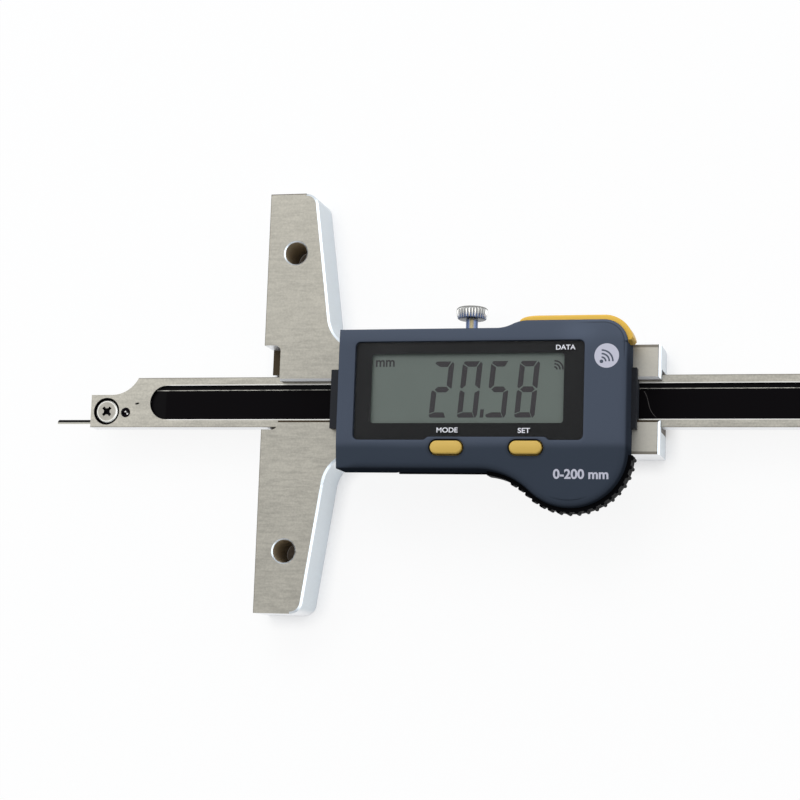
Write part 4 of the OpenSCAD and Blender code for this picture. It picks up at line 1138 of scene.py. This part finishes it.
    def write(self, name, text, box, finish, z, bold):
        """Flat lettering fitted into a box; without z it follows the housing's front."""
        curve = bpy.data.curves.new(name + "_text", "FONT")
        curve.body = text
        curve.offset = bold
        curve.size = 1
        holder = new_object(name + "_text", curve)
        bpy.context.view_layer.update()
        mesh = bpy.data.meshes.new_from_object(holder)
        bpy.data.objects.remove(holder)
        bpy.data.curves.remove(curve)
        xs = [v.co.x for v in mesh.vertices]
        ys = [v.co.y for v in mesh.vertices]
        x0, y0, x1, y1 = box
        form = Form()
        for v in mesh.vertices:
            x = x0 + (v.co.x - min(xs)) / (max(xs) - min(xs)) * (x1 - x0)
            y = y0 + (v.co.y - min(ys)) / (max(ys) - min(ys)) * (y1 - y0)
            form.verts.append((x, y, front_height(y) + 0.03 if z is None else z))
        form.faces = [tuple(p.vertices) for p in mesh.polygons]
        bpy.data.meshes.remove(mesh)
        form.piece(name, finish, "frame")


class GAUGE_OT_insides(Step):
    """Finishes of the board, the display's holder, the cell and the other inner parts"""

    bl_idname = "depth_gauge.insides"
    bl_label = "Inner parts"

    def make(self):
        dress(circuit_green(), "circuit_board", "sensor_board")
        dress(moulded("chip_black", tone(24, 24, 26), 0.4), "controller_chip")
        dress(bright_metal("tin_plate", tone(205, 205, 202), 0.3), "radio_module", "battery",
              "shell_screws")
        dress(bright_metal("contact_gold", tone(212, 180, 110), 0.28), "battery_contacts")
        dress(moulded("switch_grey", tone(150, 150, 152), 0.5), "key_switches", "data_switch")
        dress(moulded("holder_white", tone(222, 222, 216), 0.55), "lcd_frame", "sensor_connector")
        dress(moulded("zebra_rubber", tone(190, 120, 108), 0.7), "zebra_connectors")


class GAUGE_OT_studio(Step):
    """Floor, lamps, world and the camera at the photograph's place"""

    bl_idname = "depth_gauge.studio"
    bl_label = "Studio"

    def make(self):
        scene = bpy.context.scene
        scene.view_settings.view_transform = "Standard"
        self.camera(scene)
        self.floor()
        self.lamp("lamp_top", (-0.25, 0.95, 1.05), 1.0, 0.6, 4.6, (1.0, 0.99, 0.97))
        self.lamp("lamp_left", (-0.9, 0.1, 0.9), 0.6, 0.6, 1.6, (0.98, 0.99, 1.0))
        world = bpy.data.worlds.new("studio_world")
        scene.world = world
        b = Bench(world)
        camera, gloss, clear = b.rays()
        x, y, z = b.axes(b.add("ShaderNodeTexCoord", out="Generated"))
        behind = b.ease(y, -0.3, -0.6, 0.0, 0.6) * b.ease(z, 0.1, 0.4)
        sky = b.ease(y, -0.35, 0.65, 0.42, 1.2) + gloss * (b.ease(x, 0.55, 0.85, 0.0, 1.8) + behind)
        white = b.add("ShaderNodeBackground", None, {"Color": (1.0, 1.0, 1.0), "Strength": 1.0})
        plain = b.add("ShaderNodeBackground", None, {"Color": (0.95, 0.97, 1.0), "Strength": sky})
        mixed = b.add("ShaderNodeMixShader", None, {0: camera + clear, 1: plain, 2: white})
        b.end(mixed, "ShaderNodeOutputWorld")

    def camera(self, scene):
        """Camera that sees the gauge as the photograph does."""
        yaw, pitch, roll = radians(14.45), radians(8.40), radians(1.96)
        turn = (Matrix.Rotation(yaw, 3, "Y") @ Matrix.Rotation(pitch, 3, "X")
                @ Matrix.Rotation(roll, 3, "Z"))
        data = bpy.data.cameras.new("photo_camera")
        data.lens = 89.55
        data.sensor_width = 36
        data.clip_end = 20
        camera = new_object("photo_camera", data)
        camera.matrix_world = Matrix.Translation((0.147707, -0.067518, 0.454830)) @ turn.to_4x4()
        scene.camera = camera

    def floor(self):
        form = Form()
        corners = (-1, -1), (1, -1), (1, 1), (-1, 1)
        form.fill(form.ring([Vector(c) * FLOOR_HALF for c in corners], FLOOR_Z))
        b = material("floor_white")
        grain = b.noise(400, 3.0)
        near = b.add("ShaderNodeAmbientOcclusion", {"samples": 8}, {"Distance": 0.004}, "AO")
        camera, gloss, clear = b.rays()
        seen = camera + gloss + clear
        x, y, _ = b.place()
        # Painted shadow: under each of the base's two holes the floor is a dark, mottled disc, as
        # emission to camera, glossy and transmitted rays and black to the rest.
        outside_bore_shadow = b.ease(b.length(x - HOLE_X, abs(y) - HOLE_Y), HOLE_R, HOLE_R + 0.4)
        mottle = b.noise(1600, 2.0)
        dull = b.add("ShaderNodeBsdfDiffuse", None, {
            "Color": b.tint((1.0, 1.0, 1.0), (0.3 + 0.7 * seen) * (0.985 + 0.03 * grain) * outside_bore_shadow)})
        shade = b.tint(tone(52, 46, 40), 0.6 + 0.8 * mottle)
        lit = b.add("ShaderNodeEmission", None, {
            "Color": b.mix(outside_bore_shadow, shade, (1.0, 1.0, 1.0)), "Strength": 1.0})
        share = seen * (1 - outside_bore_shadow + near * outside_bore_shadow * 0.88)
        mixed = b.add("ShaderNodeMixShader", None, {0: share, 1: dull, 2: lit})
        obj = form.shown("floor", b.end(mixed))

    def lamp(self, name, place, wide, high, power, colour):
        data = bpy.data.lights.new(name, "AREA")
        data.shape = "RECTANGLE"
        data.size, data.size_y = wide, high
        data.energy = power
        data.color = colour
        obj = new_object(name, data)
        obj.location = place
        aim = Vector((0.05, 0, 0)) - Vector(place)
        obj.rotation_euler = aim.to_track_quat("-Z", "Y").to_euler()


class GAUGE_PT_panel(bpy.types.Panel):
    """Lists the steps in the sidebar"""

    bl_label = "Depth gauge"
    bl_space_type = "VIEW_3D"
    bl_region_type = "UI"
    bl_category = "Depth gauge"

    def draw(self, context):
        for step in STEPS:
            self.layout.operator(step.bl_idname)
        for group in (context.scene.gauge_sizes, context.scene.gauge_colours):
            for name in group.__annotations__:
                self.layout.prop(group, name)


STEPS = (GAUGE_OT_studio, GAUGE_OT_steelwork, GAUGE_OT_housing, GAUGE_OT_keys, GAUGE_OT_display,
         GAUGE_OT_insides)
CLASSES = (GaugeSizes, GaugeColours, *STEPS, GAUGE_PT_panel)


def register():
    for cls in CLASSES:
        bpy.utils.register_class(cls)
    bpy.types.Scene.gauge_sizes = bpy.props.PointerProperty(type=GaugeSizes)
    bpy.types.Scene.gauge_colours = bpy.props.PointerProperty(type=GaugeColours)


def unregister():
    del bpy.types.Scene.gauge_colours
    del bpy.types.Scene.gauge_sizes
    for cls in reversed(CLASSES):
        bpy.utils.unregister_class(cls)


def main():
    register()
    for step in STEPS:
        group, name = step.bl_idname.split(".")
        getattr(getattr(bpy.ops, group), name)()


if __name__ == "__main__":
    main()
